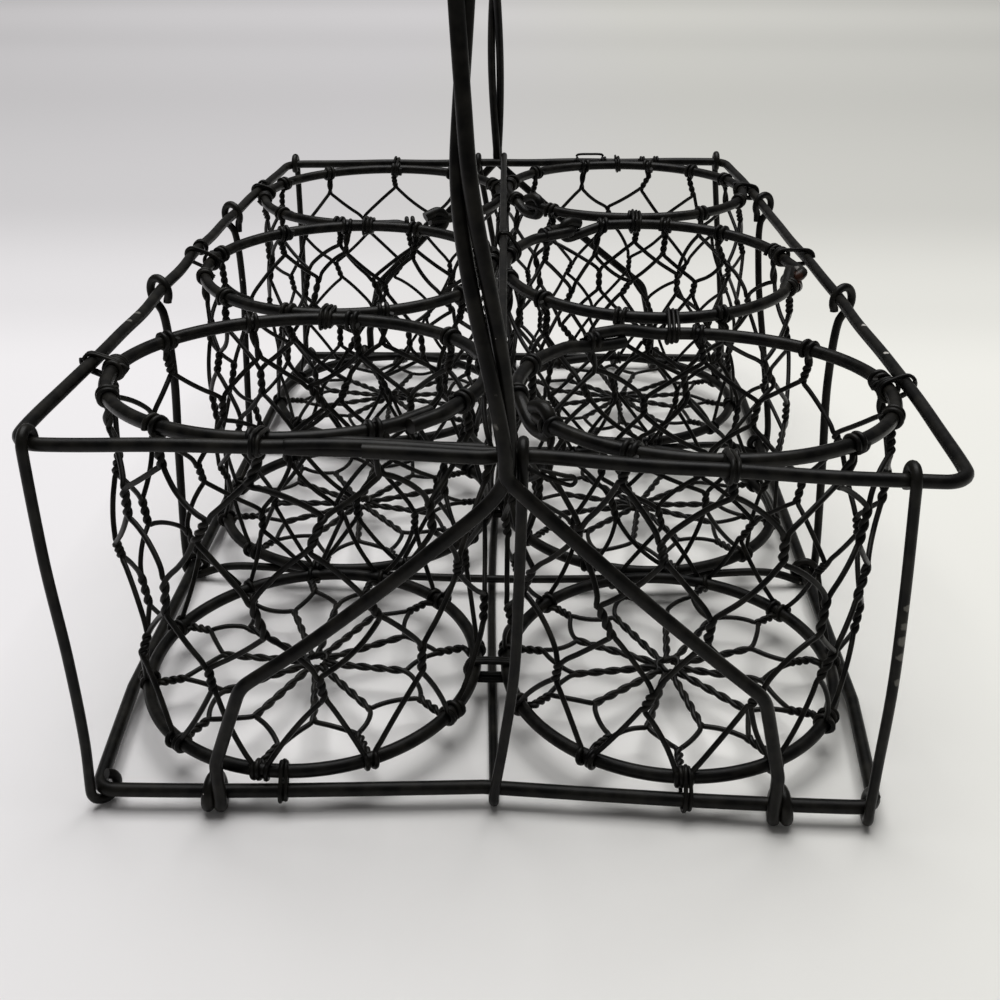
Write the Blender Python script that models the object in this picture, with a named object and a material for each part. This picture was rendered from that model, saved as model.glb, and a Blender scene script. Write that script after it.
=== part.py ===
import math

import bpy
import numpy as np

# Wire thicknesses and the clearance between touching wires, in metres
frame_wire = 0.0032
ring_wire = 0.0035
support_wire = 0.0025
net_wire = 0.0013
tie_wire = 0.0012
fit = 0.0003

# Cups
cup_outer = 0.0950
cup_gap = 0.0024
column_gap = 0.0017
meshes_round = 11
hub_radius = 0.0045
floor_room = 0.0009

# Frames
frame_height = 0.0880
side_room = 0.0009
end_room = 0.0040
bottom_inset = 0.0030
corner_bend = 0.0065
bottom_bend = 0.0040
front_bow = 0.0042
side_bow = 0.0038
top_bow_left = 0.0015
top_bow_right = 0.0025
top_bow_front = 0.0028
lap_length = 0.0170
lap_centre = -0.0158

# Handle and legs
handle_height = 0.2900
handle_turns = 4
leg_reach = 0.0645
knee_height = 0.0330
knee_inset = 0.0050
left_knee_inset = 0.0078
leg_sag = 0.0008
left_leg_sag = 0.0024
left_leg_drop = 0.0030
right_foot_out = 0.0050
left_foot_in = 0.0018
handle_front_x = 0.0047
handle_rear_x = -0.0058
handle_lean_front = -0.0022
handle_lean_rear = -0.0070

# Cradle wires and posts
cradle_front_y = -0.0400
cradle_rear_y = 0.0575
front_left_rise = 0.0050
front_right_rise = 0.0100
rear_left_rise = 0.0030
rear_right_rise = 0.0235
cradle_tuck = 0.0030
cradle_bow = 0.0090
post_inset = 0.0080
left_post_out = 0.0024
right_post_in = 0.0046
long_front_x = 0.0030
long_front_bow = 0.0022
long_middle_x = -0.0014
long_rest = 0.0400
long_rear_x = 0.0018
centre_middle_x = 0.0010

# Section sides of each kind of wire
frame_sides = 8
wire_sides = 6
tie_sides = 3

frame_radius = frame_wire / 2
ring_radius = ring_wire / 2
support_radius = support_wire / 2
tie_radius = tie_wire / 2

# How far each wire's centre stays from the bar that it goes round
curl = frame_wire + fit
top_hook = frame_radius + support_radius + fit
low_hook = ring_radius + support_radius + fit
foot_eye = ring_radius + frame_radius + fit

# Heights of the main wires, with the feet of the handle on the ground
support_flat = support_radius * math.cos(math.pi / wire_sides)
bottom_z = foot_eye + frame_radius * math.cos(math.pi / wire_sides)
top_z = bottom_z + frame_height
base_ring_z = bottom_z + ring_wire + fit
centre_z = top_z + support_radius + ring_radius + 4 * fit
ring_line = (cup_outer - ring_wire) / 2
net_pair = net_wire * 0.8
net_seat = (ring_radius + net_wire * 0.6 + fit) * 0.72
net_seat_line = ring_line - net_seat
cup_pitch = cup_outer + cup_gap
column_x = (cup_outer + column_gap) / 2
half_width = column_x + cup_outer / 2 + side_room + frame_radius
half_length = cup_pitch + cup_outer / 2 + end_room + frame_radius

up = np.array([0.0, 0.0, 1.0])
right = np.array([1.0, 0.0, 0.0])
back = np.array([0.0, 1.0, 0.0])


def vec(*values):
    return np.array(values, dtype=float)


def unit(v):
    return v / np.linalg.norm(v)


def mix(a, b, t):
    return a + (b - a) * t


def cup(column, row, shift, oval, lift, tilt, joint, base_shift, base_oval):
    """One cup: nominal place, small hand-made shifts in millimetres, joint in degrees."""
    nominal = vec(column * column_x, row * cup_pitch, 0)
    return {
        "place": nominal + vec(*shift, 0) / 1000,
        "base": nominal + vec(*base_shift, 0) / 1000,
        "oval": oval,
        "base_oval": base_oval,
        "lift": lift / 1000,
        "tilt": tilt / 1000,
        "joint": math.radians(joint),
    }


cups = {
    "front_left": cup(-1, -1, (1.2, 0.2), 0.022, -2.0, 1.5, 347.7, (0.1, -3.7), -0.03),
    "front_right": cup(1, -1, (5.0, 1.0), 0.012, -1.9, 1.4, 216.8, (1.0, -2.9), -0.03),
    "middle_left": cup(-1, 0, (0.2, 0.7), -0.004, -2.4, -0.9, 20.5, (0.0, -4.7), -0.01),
    "middle_right": cup(1, 0, (-1.2, 1.1), -0.006, -0.3, -1.7, 347.7, (-0.3, -3.1), -0.01),
    "rear_left": cup(-1, 1, (0.0, 0.8), 0.005, -1.2, -0.2, 315.0, (-0.2, -4.0), -0.01),
    "rear_right": cup(1, 1, (-2.9, 1.8), -0.010, 0.6, 0.4, 216.8, (-1.2, -2.4), -0.01),
}

# Corners of the two frames, each moved by the small hand-made shift in millimetres
top_shift = {
    "front_left": (-3.3, 2.1, 2.7),
    "front_right": (5.4, -0.6, -2.5),
    "rear_left": (1.5, 0.1, -1.2),
    "rear_right": (-5.2, 1.4, 0.8),
}
bottom_shift = {
    "front_left": (0.7, -1.6, 0),
    "front_right": (-0.2, -2.6, 0),
    "rear_left": (2.4, -0.6, 0),
    "rear_right": (0.6, 1.4, 0),
}
corner_names = ("front_left", "rear_left", "rear_right", "front_right")


def corner(name, shift, inset, z):
    sign_x = 1 if "right" in name else -1
    sign_y = 1 if "rear" in name else -1
    place = vec(sign_x * (half_width - inset), sign_y * (half_length - inset * 0.1), z)
    return place + vec(*shift[name]) / 1000


top_corner = {name: corner(name, top_shift, 0, top_z) for name in corner_names}
bottom_corner = {
    name: corner(name, bottom_shift, bottom_inset, bottom_z) for name in corner_names
}


# Where a bar bends: places along it, and the share of its bow reached there
straight = ((0.0, 0.0), (1.0, 0.0))
flat_bow = ((0.0, 0.0), (0.14, 1.0), (0.86, 1.0), (1.0, 0.0))
middle_bow = ((0.0, 0.0), (0.2, 0.2), (0.5, 1.0), (0.8, 0.2), (1.0, 0.0))
lifted_bow = ((0.0, 0.0), (0.16, 0.6), (0.43, 1.0), (0.55, 0.7), (0.75, 0.25), (1.0, 0.0))

# Each bar: its two corners, the axis it runs along, its bow and its bends
top_bars = {
    "front": ("front_left", "front_right", 0, up * top_bow_front, lifted_bow),
    "rear": ("rear_left", "rear_right", 0, back * 0, straight),
    "left": ("front_left", "rear_left", 1, -right * top_bow_left, flat_bow),
    "right": ("front_right", "rear_right", 1, right * top_bow_right, flat_bow),
}
bottom_bars = {
    "front": ("front_left", "front_right", 0, back * front_bow, middle_bow),
    "rear": ("rear_left", "rear_right", 0, back * 0, straight),
    "left": ("front_left", "rear_left", 1, -right * side_bow, flat_bow),
    "right": ("front_right", "rear_right", 1, right * side_bow, flat_bow),
}


def bar_point(corners, bar, value):
    """Centre of a bar at this x or y."""
    first, last, axis, bow, bends = bar
    a = corners[first]
    b = corners[last]
    t = (value - a[axis]) / (b[axis] - a[axis])
    share = np.interp(t, [place for place, _ in bends], [share for _, share in bends])
    return mix(a, b, t) + bow * share


def top_bar(side, value):
    return bar_point(top_corner, top_bars[side], value)


def bottom_bar(side, value):
    return bar_point(bottom_corner, bottom_bars[side], value)


def loop_points(corners, bars):
    """Corners and bends of a frame, from the front left corner round by the rear."""
    points = []
    for side in ("left", "rear", "right", "front"):
        first, last, _, bow, bends = bars[side]
        bar = [mix(corners[first], corners[last], t) + bow * share for t, share in bends]
        if side in ("right", "front"):
            bar.reverse()
        points += bar[:-1]
    return points


def sweep(points, radius, sides, ref=None, closed=False):
    """A tube along the points: vertices and faces."""
    path = np.array(points)
    count = len(path)
    if closed:
        step = np.roll(path, -1, axis=0) - path
    else:
        step = np.diff(path, axis=0)
    step = step / np.linalg.norm(step, axis=1)[:, None]
    verts = []
    normal = None
    for i in range(count):
        before = step[i - 1] if closed or i > 0 else step[0]
        after = step[i] if closed or i < count - 1 else step[-1]
        tangent = unit(before + after)
        if ref is not None:
            side = unit(ref - ref.dot(tangent) * tangent)
            normal = np.cross(side, tangent)
        elif normal is None:
            guess = up if abs(tangent[2]) < 0.8 else right
            normal = unit(guess - guess.dot(tangent) * tangent)
            side = np.cross(tangent, normal)
        else:
            normal = unit(normal - normal.dot(tangent) * tangent)
            side = np.cross(tangent, normal)
        bend = after - before
        bend_size = np.linalg.norm(bend)
        for k in range(sides):
            angle = 2 * math.pi * (k + 0.5) / sides
            offset = radius * (math.cos(angle) * normal + math.sin(angle) * side)
            if bend_size > 1e-6:
                inward = bend / bend_size
                stretch = min(1 / math.sqrt(1 - (bend_size / 2) ** 2), 1.4) - 1
                offset = offset + offset.dot(inward) * stretch * inward
            verts.append(path[i] + offset)
    faces = []
    turns = count if closed else count - 1
    for i in range(turns):
        j = (i + 1) % count
        for k in range(sides):
            m = (k + 1) % sides
            faces.append((i * sides + k, i * sides + m, j * sides + m, j * sides + k))
    if not closed:
        faces.append(tuple(range(sides - 1, -1, -1)))
        faces.append(tuple((count - 1) * sides + k for k in range(sides)))
    return verts, faces


def facing_out(verts, faces):
    """The faces turned so that the closed mesh encloses a positive volume."""
    volume = 0.0
    for face in faces:
        a = verts[face[0]]
        for i in range(1, len(face) - 1):
            volume += a.dot(np.cross(verts[face[i]], verts[face[i + 1]]))
    if volume > 0:
        return faces
    return [tuple(reversed(face)) for face in faces]


def arc(centre, u, v, radius, start, end, steps, drift=None):
    """Corner points of a polygon drawn round an arc, so that its sides touch it."""
    turn = (end - start) / steps
    reach = radius / math.cos(turn / 2)
    points = []
    for i in range(steps):
        angle = start + (i + 0.5) * turn
        point = centre + reach * (math.cos(angle) * u + math.sin(angle) * v)
        if drift is not None:
            point = point + drift * ((i + 0.5) / steps)
        points.append(point)
    return points


def rim(centre, u, v, radius, angle):
    return centre + radius * (math.cos(angle) * u + math.sin(angle) * v)


def rounded(points, radius, steps=3):
    """The polyline with each inner corner replaced by a short bend."""
    out = [points[0]]
    for before, here, after in zip(points[:-2], points[1:-1], points[2:]):
        a = unit(before - here)
        b = unit(after - here)
        half = math.acos(max(-1.0, min(1.0, a.dot(b)))) / 2
        if half > math.radians(86):
            out.append(here)
            continue
        reach = radius / math.tan(half)
        limit = 0.48 * min(np.linalg.norm(before - here), np.linalg.norm(after - here))
        reach = min(reach, limit)
        r = reach * math.tan(half)
        centre = here + unit(a + b) * (r / math.sin(half))
        start = here + a * reach - centre
        sweep_angle = math.pi - 2 * half
        out += arc(centre, unit(start), -a, r, 0, sweep_angle, steps)
    out.append(points[-1])
    return out


black = (0.012, 0.011, 0.010, 1)


def finish(name, colour, roughness):
    material = bpy.data.materials.new(name)
    material.use_nodes = True
    shader = material.node_tree.nodes["Principled BSDF"]
    shader.inputs["Base Color"].default_value = colour
    shader.inputs["Roughness"].default_value = roughness
    shader.inputs["Metallic"].default_value = 0.0
    return material


def add(name, shape, roughness=0.45, colour=black):
    verts, faces = shape
    faces = facing_out(verts, faces)
    mesh = bpy.data.meshes.new(name)
    mesh.from_pydata([tuple(v) for v in verts], [], faces)
    mesh.update()
    mesh.shade_smooth()
    piece = bpy.data.objects.new(name, mesh)
    bpy.context.scene.collection.objects.link(piece)
    mesh.materials.append(finish(name, colour, roughness))
    return piece


def top_frame():
    """One wire bent to a rectangle, its ends lapped side by side in the front bar."""
    half_lap = (frame_wire + fit) / 2
    lap_right = lap_centre + lap_length / 2
    lap_left = lap_centre - lap_length / 2
    slope = 3 * frame_wire
    behind = back * half_lap
    path = [top_bar("front", lap_right) + behind]
    path.append(top_bar("front", lap_left - slope / 3) + behind)
    path.append(top_bar("front", lap_left - slope))
    path += loop_points(top_corner, top_bars)
    path.append(top_bar("front", lap_right + slope))
    path.append(top_bar("front", lap_right + slope / 3) - behind)
    path.append(top_bar("front", lap_left) - behind)
    add("top_frame", sweep(rounded(path, corner_bend), frame_radius, frame_sides, up))


def bottom_frame():
    """One closed wire, its long sides bowed outward and its front bowed inward."""
    path = loop_points(bottom_corner, bottom_bars)
    opened = rounded([path[-1]] + path + [path[0]], bottom_bend)
    add("bottom_frame", sweep(opened[1:-1], ring_radius, frame_sides, up, closed=True))


def post(name, inset):
    """A post: hook over the top bar, straight down, curl round the bottom corner."""
    side = "rear" if "rear" in name else "front"
    inward = -1 if "right" in name else 1
    out = back if side == "rear" else -back
    top = top_bar(side, top_corner[name][0] + inward * inset)
    step = math.radians(45)
    path = [rim(top, out, up, top_hook, 5 * step)]
    path += arc(top, out, up, top_hook, 5 * step, 0, 5)
    diagonal = unit(out - right * inward)
    bend_middle = bottom_bend * (math.sqrt(2) - 1)
    bottom = bottom_corner[name] - diagonal * bend_middle
    path += arc(bottom, diagonal, up, low_hook + fit / 2, 0, -6 * step, 6)
    across = np.cross(diagonal, up)
    add("post_" + name, sweep(path, support_radius, wire_sides, across))


def posts():
    post("front_left", post_inset - left_post_out)
    post("front_right", post_inset + right_post_in)
    post("rear_left", post_inset)
    post("rear_right", post_inset)


def cradle_end(side, y_top, y_bottom):
    """From the free end of the hook down to the start of the run under the cups."""
    out = right if side == "right" else -right
    top = top_bar(side, y_top)
    bottom = bottom_bar(side, y_bottom)
    step = math.radians(45)
    pitch = -back * (support_wire + fit)
    tip = rim(top, out, up, top_hook, math.radians(210)) - pitch
    points = [tip]
    points += arc(top - pitch, out, up, top_hook, math.radians(210), -math.radians(60), 6, pitch)
    tucked = top - out * cradle_tuck - up * (top_hook + support_radius * 3)
    points.append(tucked)
    drift = pitch * 1.33
    points.append(bottom + out * low_hook + up * 2 * low_hook)
    points += arc(bottom, out, up, low_hook, 0, -math.radians(495), 11, drift)
    leave = bottom + drift - out * (3.4 * low_hook)
    leave[2] = bottom_z
    points.append(leave)
    return points


def cradle(name, y, left_rise, right_rise):
    """Two hooks, two uprights, two eyes and the run under the cups, bowed to the front."""
    path = cradle_end("left", y + left_rise, y)
    for x in (-0.5, 0.0, 0.5):
        bow = cradle_bow * (1 - x * x)
        path.append(vec(x * column_x * 2, y - bow, bottom_z))
    path += reversed(cradle_end("right", y + right_rise, y + support_radius))
    add(name, sweep(path, support_radius, wire_sides, back))


def long_half(side, x_top, x_bottom, bow):
    """The hook over the top bar, the bowed upright and the turn under the bottom bar."""
    step = math.radians(45)
    out = back if side == "rear" else -back
    top = top_bar(side, x_top)
    bottom = bottom_bar(side, x_bottom)
    half = [rim(top, out, up, top_hook, 5 * step)]
    half += arc(top, out, up, top_hook, 5 * step, 0, 5)
    half.append(mix(top + out * top_hook, bottom + out * low_hook, 0.6) + right * bow)
    half += arc(bottom, out, up, low_hook, 0, -2 * step, 2)
    return half


def cradle_long():
    """Over the front bar, down, under the bottom bars along the ground, and up again."""
    path = long_half("front", handle_front_x + curl * 1.3, long_front_x, long_front_bow)
    path.append(vec(long_middle_x, -long_rest, support_flat))
    path.append(vec(long_middle_x, long_rest, support_flat))
    path += reversed(long_half("rear", handle_rear_x - curl * 2.3, long_rear_x, 0))
    add("cradle_long", sweep(path, support_radius, wire_sides, right))


def top_centre_wire():
    """Above the rings between the two columns, curled over the front and the rear bar."""
    step = math.radians(45)
    front_x = handle_front_x + curl * 2.5
    rear_x = handle_rear_x - curl * 1.15
    front = top_bar("front", front_x)
    rear = top_bar("rear", rear_x)
    path = [rim(front, -back, up, top_hook, -step)]
    path += arc(front, -back, up, top_hook, -step, 2 * step, 3)
    path.append(vec(front_x - 2 * curl, front[1] + 8 * curl, centre_z))
    path.append(vec(centre_middle_x, 0, centre_z))
    path.append(vec(rear_x + 2 * curl, rear[1] - 8 * curl, centre_z))
    path += arc(rear, back, up, top_hook, 2 * step, -step, 3)
    path.append(rim(rear, back, up, top_hook, -step))
    add("top_centre_wire", sweep(path, support_radius, wire_sides, right))


def leg(side, foot_x, depth, first, inset=knee_inset, sag=leg_sag, drop=0.0):
    """From the cut end of the eye up to where the two legs meet at the top bar."""
    out = back if side == "rear" else -back
    bottom = bottom_bar(side, foot_x)
    sign = 1 if foot_x > 0 else -1
    pitch = right * sign * (frame_wire + fit)
    step = math.radians(45)
    points = [rim(bottom + pitch, out, up, foot_eye, -1 * step)]
    points += arc(bottom + pitch, out, up, foot_eye, -step, 8 * step, 9, -pitch)
    plane = bottom[1] + out[1] * foot_eye
    foot = vec(foot_x, plane, bottom_z + 3 * foot_eye)
    knee = vec(foot_x - sign * inset, plane, bottom_z + knee_height)
    bar = top_bar(side, first)
    apex = top_z - frame_wire - drop
    start = vec(first + sign * frame_wire * 0.9, bar[1] + out[1] * depth, apex)
    slope = []
    for t in (0.25, 0.5, 0.75):
        point = mix(knee, start, t) - up * sag * 4 * t * (1 - t)
        point[1] = mix(knee[1], start[1], min(1.0, 2 * t))
        slope.append(point)
    bends = [points[-1], foot, knee] + slope + [start]
    return points[:-1] + rounded(bends, 2.5 * frame_wire)


def handle_line(count):
    """Centre-line of the twisted pair from the front bar over to the rear bar."""
    front = top_bar("front", handle_front_x)
    rear = top_bar("rear", handle_rear_x)
    pair = curl + (frame_wire + fit) / 2
    start_y = front[1] - pair
    end_y = rear[1] + pair
    rise = handle_height - top_z - frame_radius * 2 - fit / 2
    line = []
    for i in range(count + 1):
        angle = math.pi * i / count
        across = math.copysign(abs(math.cos(angle)) ** 0.9, math.cos(angle))
        y = mix(start_y, end_y, (1 - across) / 2)
        z = top_z + rise * math.sin(angle) ** 0.9
        foot = handle_front_x if i < count / 2 else handle_rear_x
        leant = mix(handle_lean_front, handle_lean_rear, i / count)
        lean = min(1.0, (z - top_z) / (0.75 * frame_height))
        x = mix(foot, leant, lean * lean * (3 - 2 * lean))
        line.append(vec(x, y, z))
    return line


def handle():
    """Two strands twisted together over the arch, splayed into legs at the front and rear."""
    count = 48
    line = handle_line(count)
    lengths = [0.0]
    for a, b in zip(line[:-1], line[1:]):
        lengths.append(lengths[-1] + np.linalg.norm(b - a))
    strand = (frame_wire + fit) / 2
    paths = {"a": [], "b": []}
    for i in range(count + 1):
        tangent = unit(line[min(i + 1, count)] - line[max(i - 1, 0)])
        normal = unit(np.cross(right, tangent))
        turn = math.pi / 2 + 2 * math.pi * handle_turns * lengths[i] / lengths[-1]
        offset = strand * (math.cos(turn) * right + math.sin(turn) * normal)
        paths["a"].append(line[i] + offset)
        paths["b"].append(line[i] - offset)
    near = curl
    far = curl + frame_wire + fit
    legs = {
        "a": (
            leg("front", leg_reach + right_foot_out, far, handle_front_x),
            leg("rear", -leg_reach, far, handle_rear_x),
        ),
        "b": (
            leg(
                "front", left_foot_in - leg_reach, near, handle_front_x,
                left_knee_inset, left_leg_sag, left_leg_drop,
            ),
            leg("rear", leg_reach, near, handle_rear_x),
        ),
    }
    for key, name in (("a", "handle_strand_right"), ("b", "handle_strand_left")):
        first, last = legs[key]
        path = first + paths[key] + list(reversed(last))
        add(name, sweep(path, frame_radius, wire_sides, right))


def ring_height(name):
    """Height of a top ring: the bars' height beside it, with its own small lift."""
    place = cups[name]["place"]
    side = "left" if place[0] < 0 else "right"
    near = top_bar(side, place[1])[2]
    return near + cups[name]["lift"]


def oval_point(place, oval, radius, angle, z):
    x = radius * (1 + oval) * math.cos(angle)
    y = radius * (1 - oval) * math.sin(angle)
    return vec(place[0] + x, place[1] + y, z)


def ring_point(name, angle, radius=ring_line):
    """A point of the top ring's centre-line, tilted a little from front to back."""
    made = cups[name]
    z = ring_height(name) - made["tilt"] * math.sin(angle) * radius / ring_line
    return oval_point(made["place"], made["oval"], radius, angle, z)


def base_point(name, angle, radius=ring_line, z=base_ring_z):
    made = cups[name]
    return oval_point(made["base"], made["base_oval"], radius, angle, z)


def top_ring(name):
    """A ring whose two ends lap one above the other and curl round each other."""
    joint = cups[name]["joint"]
    half = math.radians(7.2)
    half_gap = (ring_wire + fit) / 2
    steps = 28
    tip = 4
    ease = math.radians(10)

    def axis_point(angle, level):
        return ring_point(name, angle) + up * level

    path = []
    start = joint - half
    for i in range(tip + 1):
        angle = start + (half * 0.9) * i / tip
        turn = math.radians(270 - 180 * i / tip)
        radial = unit(ring_point(name, angle) - ring_point(name, angle, 0.0))
        level = axis_point(angle, -half_gap)
        path.append(level + 2 * half_gap * (math.cos(turn) * radial + math.sin(turn) * up))
    path.append(axis_point(joint + half, half_gap))
    begin = joint + half + ease
    end = joint + 2 * math.pi - half - ease
    for i in range(steps + 1):
        path.append(axis_point(mix(begin, end, i / steps), 0))
    path.append(axis_point(joint + 2 * math.pi - half, -half_gap))
    for i in range(tip + 1):
        angle = joint + 2 * math.pi + half * 0.1 + (half * 0.9) * i / tip
        turn = math.radians(270 - 180 * i / tip)
        radial = unit(ring_point(name, angle) - ring_point(name, angle, 0.0))
        level = axis_point(angle, half_gap)
        path.append(level + 2 * half_gap * (math.cos(turn) * radial + math.sin(turn) * up))
    add("cup_ring_" + name, sweep(path, ring_radius, wire_sides))


def base_ring(name):
    steps = 30
    path = [base_point(name, 2 * math.pi * i / steps) for i in range(steps)]
    add("cup_base_ring_" + name, sweep(path, ring_radius, wire_sides, up, closed=True))


class Lattice:
    """Struts that meet at joints on a curved surface, meshed with shared corner points."""

    def __init__(self):
        self.points = []
        self.normals = []
        self.links = []

    def joint(self, point, normal):
        self.points.append(point)
        self.normals.append(unit(normal))
        self.links.append([])
        return len(self.points) - 1

    def strut(self, a, b, half_width):
        self.links[a].append((b, half_width))
        self.links[b].append((a, half_width))

    def ordered(self, i):
        """The struts of one joint, counted anticlockwise round its normal."""
        normal = self.normals[i]
        first = None
        found = []
        for j, width in self.links[i]:
            direction = self.points[j] - self.points[i]
            direction = unit(direction - direction.dot(normal) * normal)
            if first is None:
                first = direction
            angle = math.atan2(np.cross(first, direction).dot(normal), first.dot(direction))
            found.append((angle % (2 * math.pi), j, width, direction))
        found.sort(key=lambda item: item[0])
        return found

    def mesh(self, ridge, sink):
        """Vertices and faces: a ridge outward, two lower edges, three sides to a strut."""
        verts = []
        faces = []
        tops = []
        crotch = []
        for i, point in enumerate(self.points):
            normal = self.normals[i]
            tops.append(len(verts))
            verts.append(point + normal * ridge)
            around = self.ordered(i)
            corners = {}
            ring = []
            for k, (_, j, width, direction) in enumerate(around):
                _, other, other_width, after = around[(k + 1) % len(around)]
                left = np.cross(normal, direction)
                if len(around) == 1:
                    corners[j] = [None, None]
                    for slot, sign in ((0, 1), (1, -1)):
                        corners[j][slot] = len(verts)
                        verts.append(point + sign * width * left - normal * sink)
                    ring = [corners[j][0], corners[j][1]]
                    continue
                away = np.cross(normal, after)
                spread = left.dot(after)
                if abs(spread) < 0.15:
                    offset = unit(left - away) * (width + other_width) / 2
                else:
                    rows = np.array([left, -away, normal])
                    offset = np.linalg.solve(rows, vec(width, other_width, 0))
                    reach = np.linalg.norm(offset)
                    offset = offset * min(1, 3.0 * max(width, other_width) / reach)
                corners.setdefault(j, [None, None])[0] = len(verts)
                corners.setdefault(other, [None, None])[1] = len(verts)
                ring.append(len(verts))
                verts.append(point + offset - normal * sink)
            crotch.append(corners)
            if len(around) > 2:
                faces.append(tuple(reversed(ring)))
            elif len(around) == 1:
                faces.append((tops[i], ring[0], ring[1]))
        for i in range(len(self.points)):
            for j, _ in self.links[i]:
                if j < i:
                    continue
                left_i, right_i = crotch[i][j]
                left_j, right_j = crotch[j][i]
                faces.append((tops[i], tops[j], right_j, left_i))
                faces.append((tops[j], tops[i], right_i, left_j))
                faces.append((left_i, right_j, left_j, right_i))
        return verts, faces


def mesh_angle(k, half):
    step = 2 * math.pi / meshes_round
    return step / 8 + step * (k + half / 2)


def net_rows(lattice, rows):
    """A pair strut down each column of a row, and single struts to the row below."""
    for _, upper, lower, width in rows:
        for a, b in zip(upper, lower):
            if a != b:
                lattice.strut(a, b, width)
    for (half, _, lower, _), (_, upper, _, _) in zip(rows[:-1], rows[1:]):
        for k in range(meshes_round):
            other = (k - 1) % meshes_round if half == 0 else (k + 1) % meshes_round
            lattice.strut(lower[k], upper[k], net_wire / 2)
            lattice.strut(lower[k], upper[other], net_wire / 2)


def net_wall(name):
    """The netting round one cup, from under its top ring to inside its base ring."""
    lattice = Lattice()
    hang = ring_radius + fit + net_wire * 0.1

    def joints(half, t):
        """A row of joints, t of the way down from the top ring to the base ring."""
        row = []
        for k in range(meshes_round):
            angle = mesh_angle(k, half)
            high = ring_point(name, angle) - up * hang
            low = base_point(name, angle, net_seat_line, base_ring_z + net_seat)
            out = vec(math.cos(angle), math.sin(angle), 0)
            row.append(lattice.joint(mix(high, low, t), out))
        return row

    rows = []
    for half, first, second in (
        (0, 0.0, 0.09),
        (1, 0.22, 0.32),
        (0, 0.45, 0.55),
        (1, 0.68, 0.78),
    ):
        rows.append((half, joints(half, first), joints(half, second), net_pair))
    foot = joints(0, 1.0)
    rows.append((0, foot, foot, net_pair))
    net_rows(lattice, rows)
    add("cup_wall_net_" + name, lattice.mesh(net_wire * 0.6, net_wire * 0.35), 0.5)


def net_floor(name):
    """The netting under one cup, from its base ring to the small ring in the middle."""
    lattice = Lattice()
    level = base_ring_z - ring_radius * 0.25

    def joints(half, radius, z=level):
        row = []
        for k in range(meshes_round):
            point = base_point(name, mesh_angle(k, half), radius, z)
            row.append(lattice.joint(point, -up))
        return row

    outer = joints(0, net_seat_line - floor_room, base_ring_z + net_seat * 0.3)
    rows = [
        (0, outer, joints(0, net_seat_line * 0.80), net_pair),
        (1, joints(1, net_seat_line * 0.64), joints(1, hub_radius), net_pair * 0.75),
    ]
    net_rows(lattice, rows)
    hub = rows[1][2]
    for k in range(meshes_round):
        lattice.strut(hub[k], hub[(k + 1) % meshes_round], net_wire * 0.35)
    add("cup_floor_net_" + name, lattice.mesh(net_wire * 0.6, net_wire * 0.35), 0.5)


def tie(name, first, second, axis, first_radius, second_radius, turns=2.0, phase=0.0):
    """Thin wire wound round two wires that lie side by side."""
    axis = unit(axis)
    gap = second - first
    gap = gap - gap.dot(axis) * axis
    apart = np.linalg.norm(gap)
    u = gap / apart
    v = np.cross(axis, u)
    loose = tie_radius + fit * 2
    reach_a = first_radius + loose
    reach_b = second_radius + loose
    lean = math.asin(max(-1.0, min(1.0, (reach_a - reach_b) / apart)))
    pitch = tie_wire + fit * 1.4
    once = []
    for centre, reach, low, high in (
        (second, reach_b, -math.pi / 2 + lean, math.pi / 2 - lean),
        (first, reach_a, math.pi / 2 - lean, 1.5 * math.pi + lean),
    ):
        steps = 3
        turn = (high - low) / steps
        far = reach / math.cos(turn / 2)
        for i in range(steps):
            angle = low + (i + 0.5) * turn
            flat = centre - centre.dot(axis) * axis
            once.append(flat + far * (math.cos(angle) * u + math.sin(angle) * v))
    middle = ((first + second) / 2).dot(axis)
    total = int(round(turns * len(once)))
    shift = int(round(phase * len(once)))
    path = []
    for i in range(total + 1):
        level = middle + pitch * (i / len(once) - turns / 2)
        path.append(once[(i + shift) % len(once)] + axis * level)
    add(name, sweep(path, tie_radius, tie_sides), 0.5)


def ties():
    """The binding wires of the rings, the frames and the handle."""
    for name in cups:
        side = "left" if "left" in name else "right"
        angle = math.pi if side == "left" else 0.0
        if name == "middle_right":
            angle = math.radians(13)
        ring = ring_point(name, angle)
        bar = top_bar(side, ring[1])
        tangent = vec(-math.sin(angle), math.cos(angle), 0)
        axis = tangent * (1 if tangent[1] > 0 else -1) + back
        tie("tie_side_" + name, ring, bar, axis, ring_radius, frame_radius, 2.0, 0.25)
    for name, end in (
        ("front_left", "front"), ("front_right", "front"),
        ("rear_left", "rear"), ("rear_right", "rear"),
    ):
        angle = math.pi * (1.5 if end == "front" else 0.5)
        ring = ring_point(name, angle)
        bar = top_bar(end, ring[0])
        tie("tie_end_" + name, ring, bar, right, ring_radius, frame_radius, 2.0, 0.5)
        low = base_point(name, angle)
        bar = bottom_bar(end, low[0])
        tie("tie_base_" + name, low, bar, right, ring_radius, ring_radius, 2.0, 0.5)
    for front, rear in (
        ("front_left", "middle_left"), ("middle_left", "rear_left"),
        ("front_right", "middle_right"), ("middle_right", "rear_right"),
    ):
        first = ring_point(front, math.pi / 2)
        second = ring_point(rear, -math.pi / 2)
        tie("tie_rings_" + front, first, second, right, ring_radius, ring_radius, 2.0, 0.0)
    for row in ("front", "middle", "rear"):
        first = base_point(row + "_left", -0.06)
        second = base_point(row + "_right", math.pi + 0.06)
        tie("tie_floor_" + row, first, second, back, ring_radius, ring_radius, 2.0, 0.1)
    ring = ring_point("middle_right", math.radians(163))
    wire = vec(centre_middle_x, ring[1], centre_z)
    tie("tie_centre_middle", ring, wire, back, ring_radius, support_radius, 2.0, 0.2)


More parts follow.
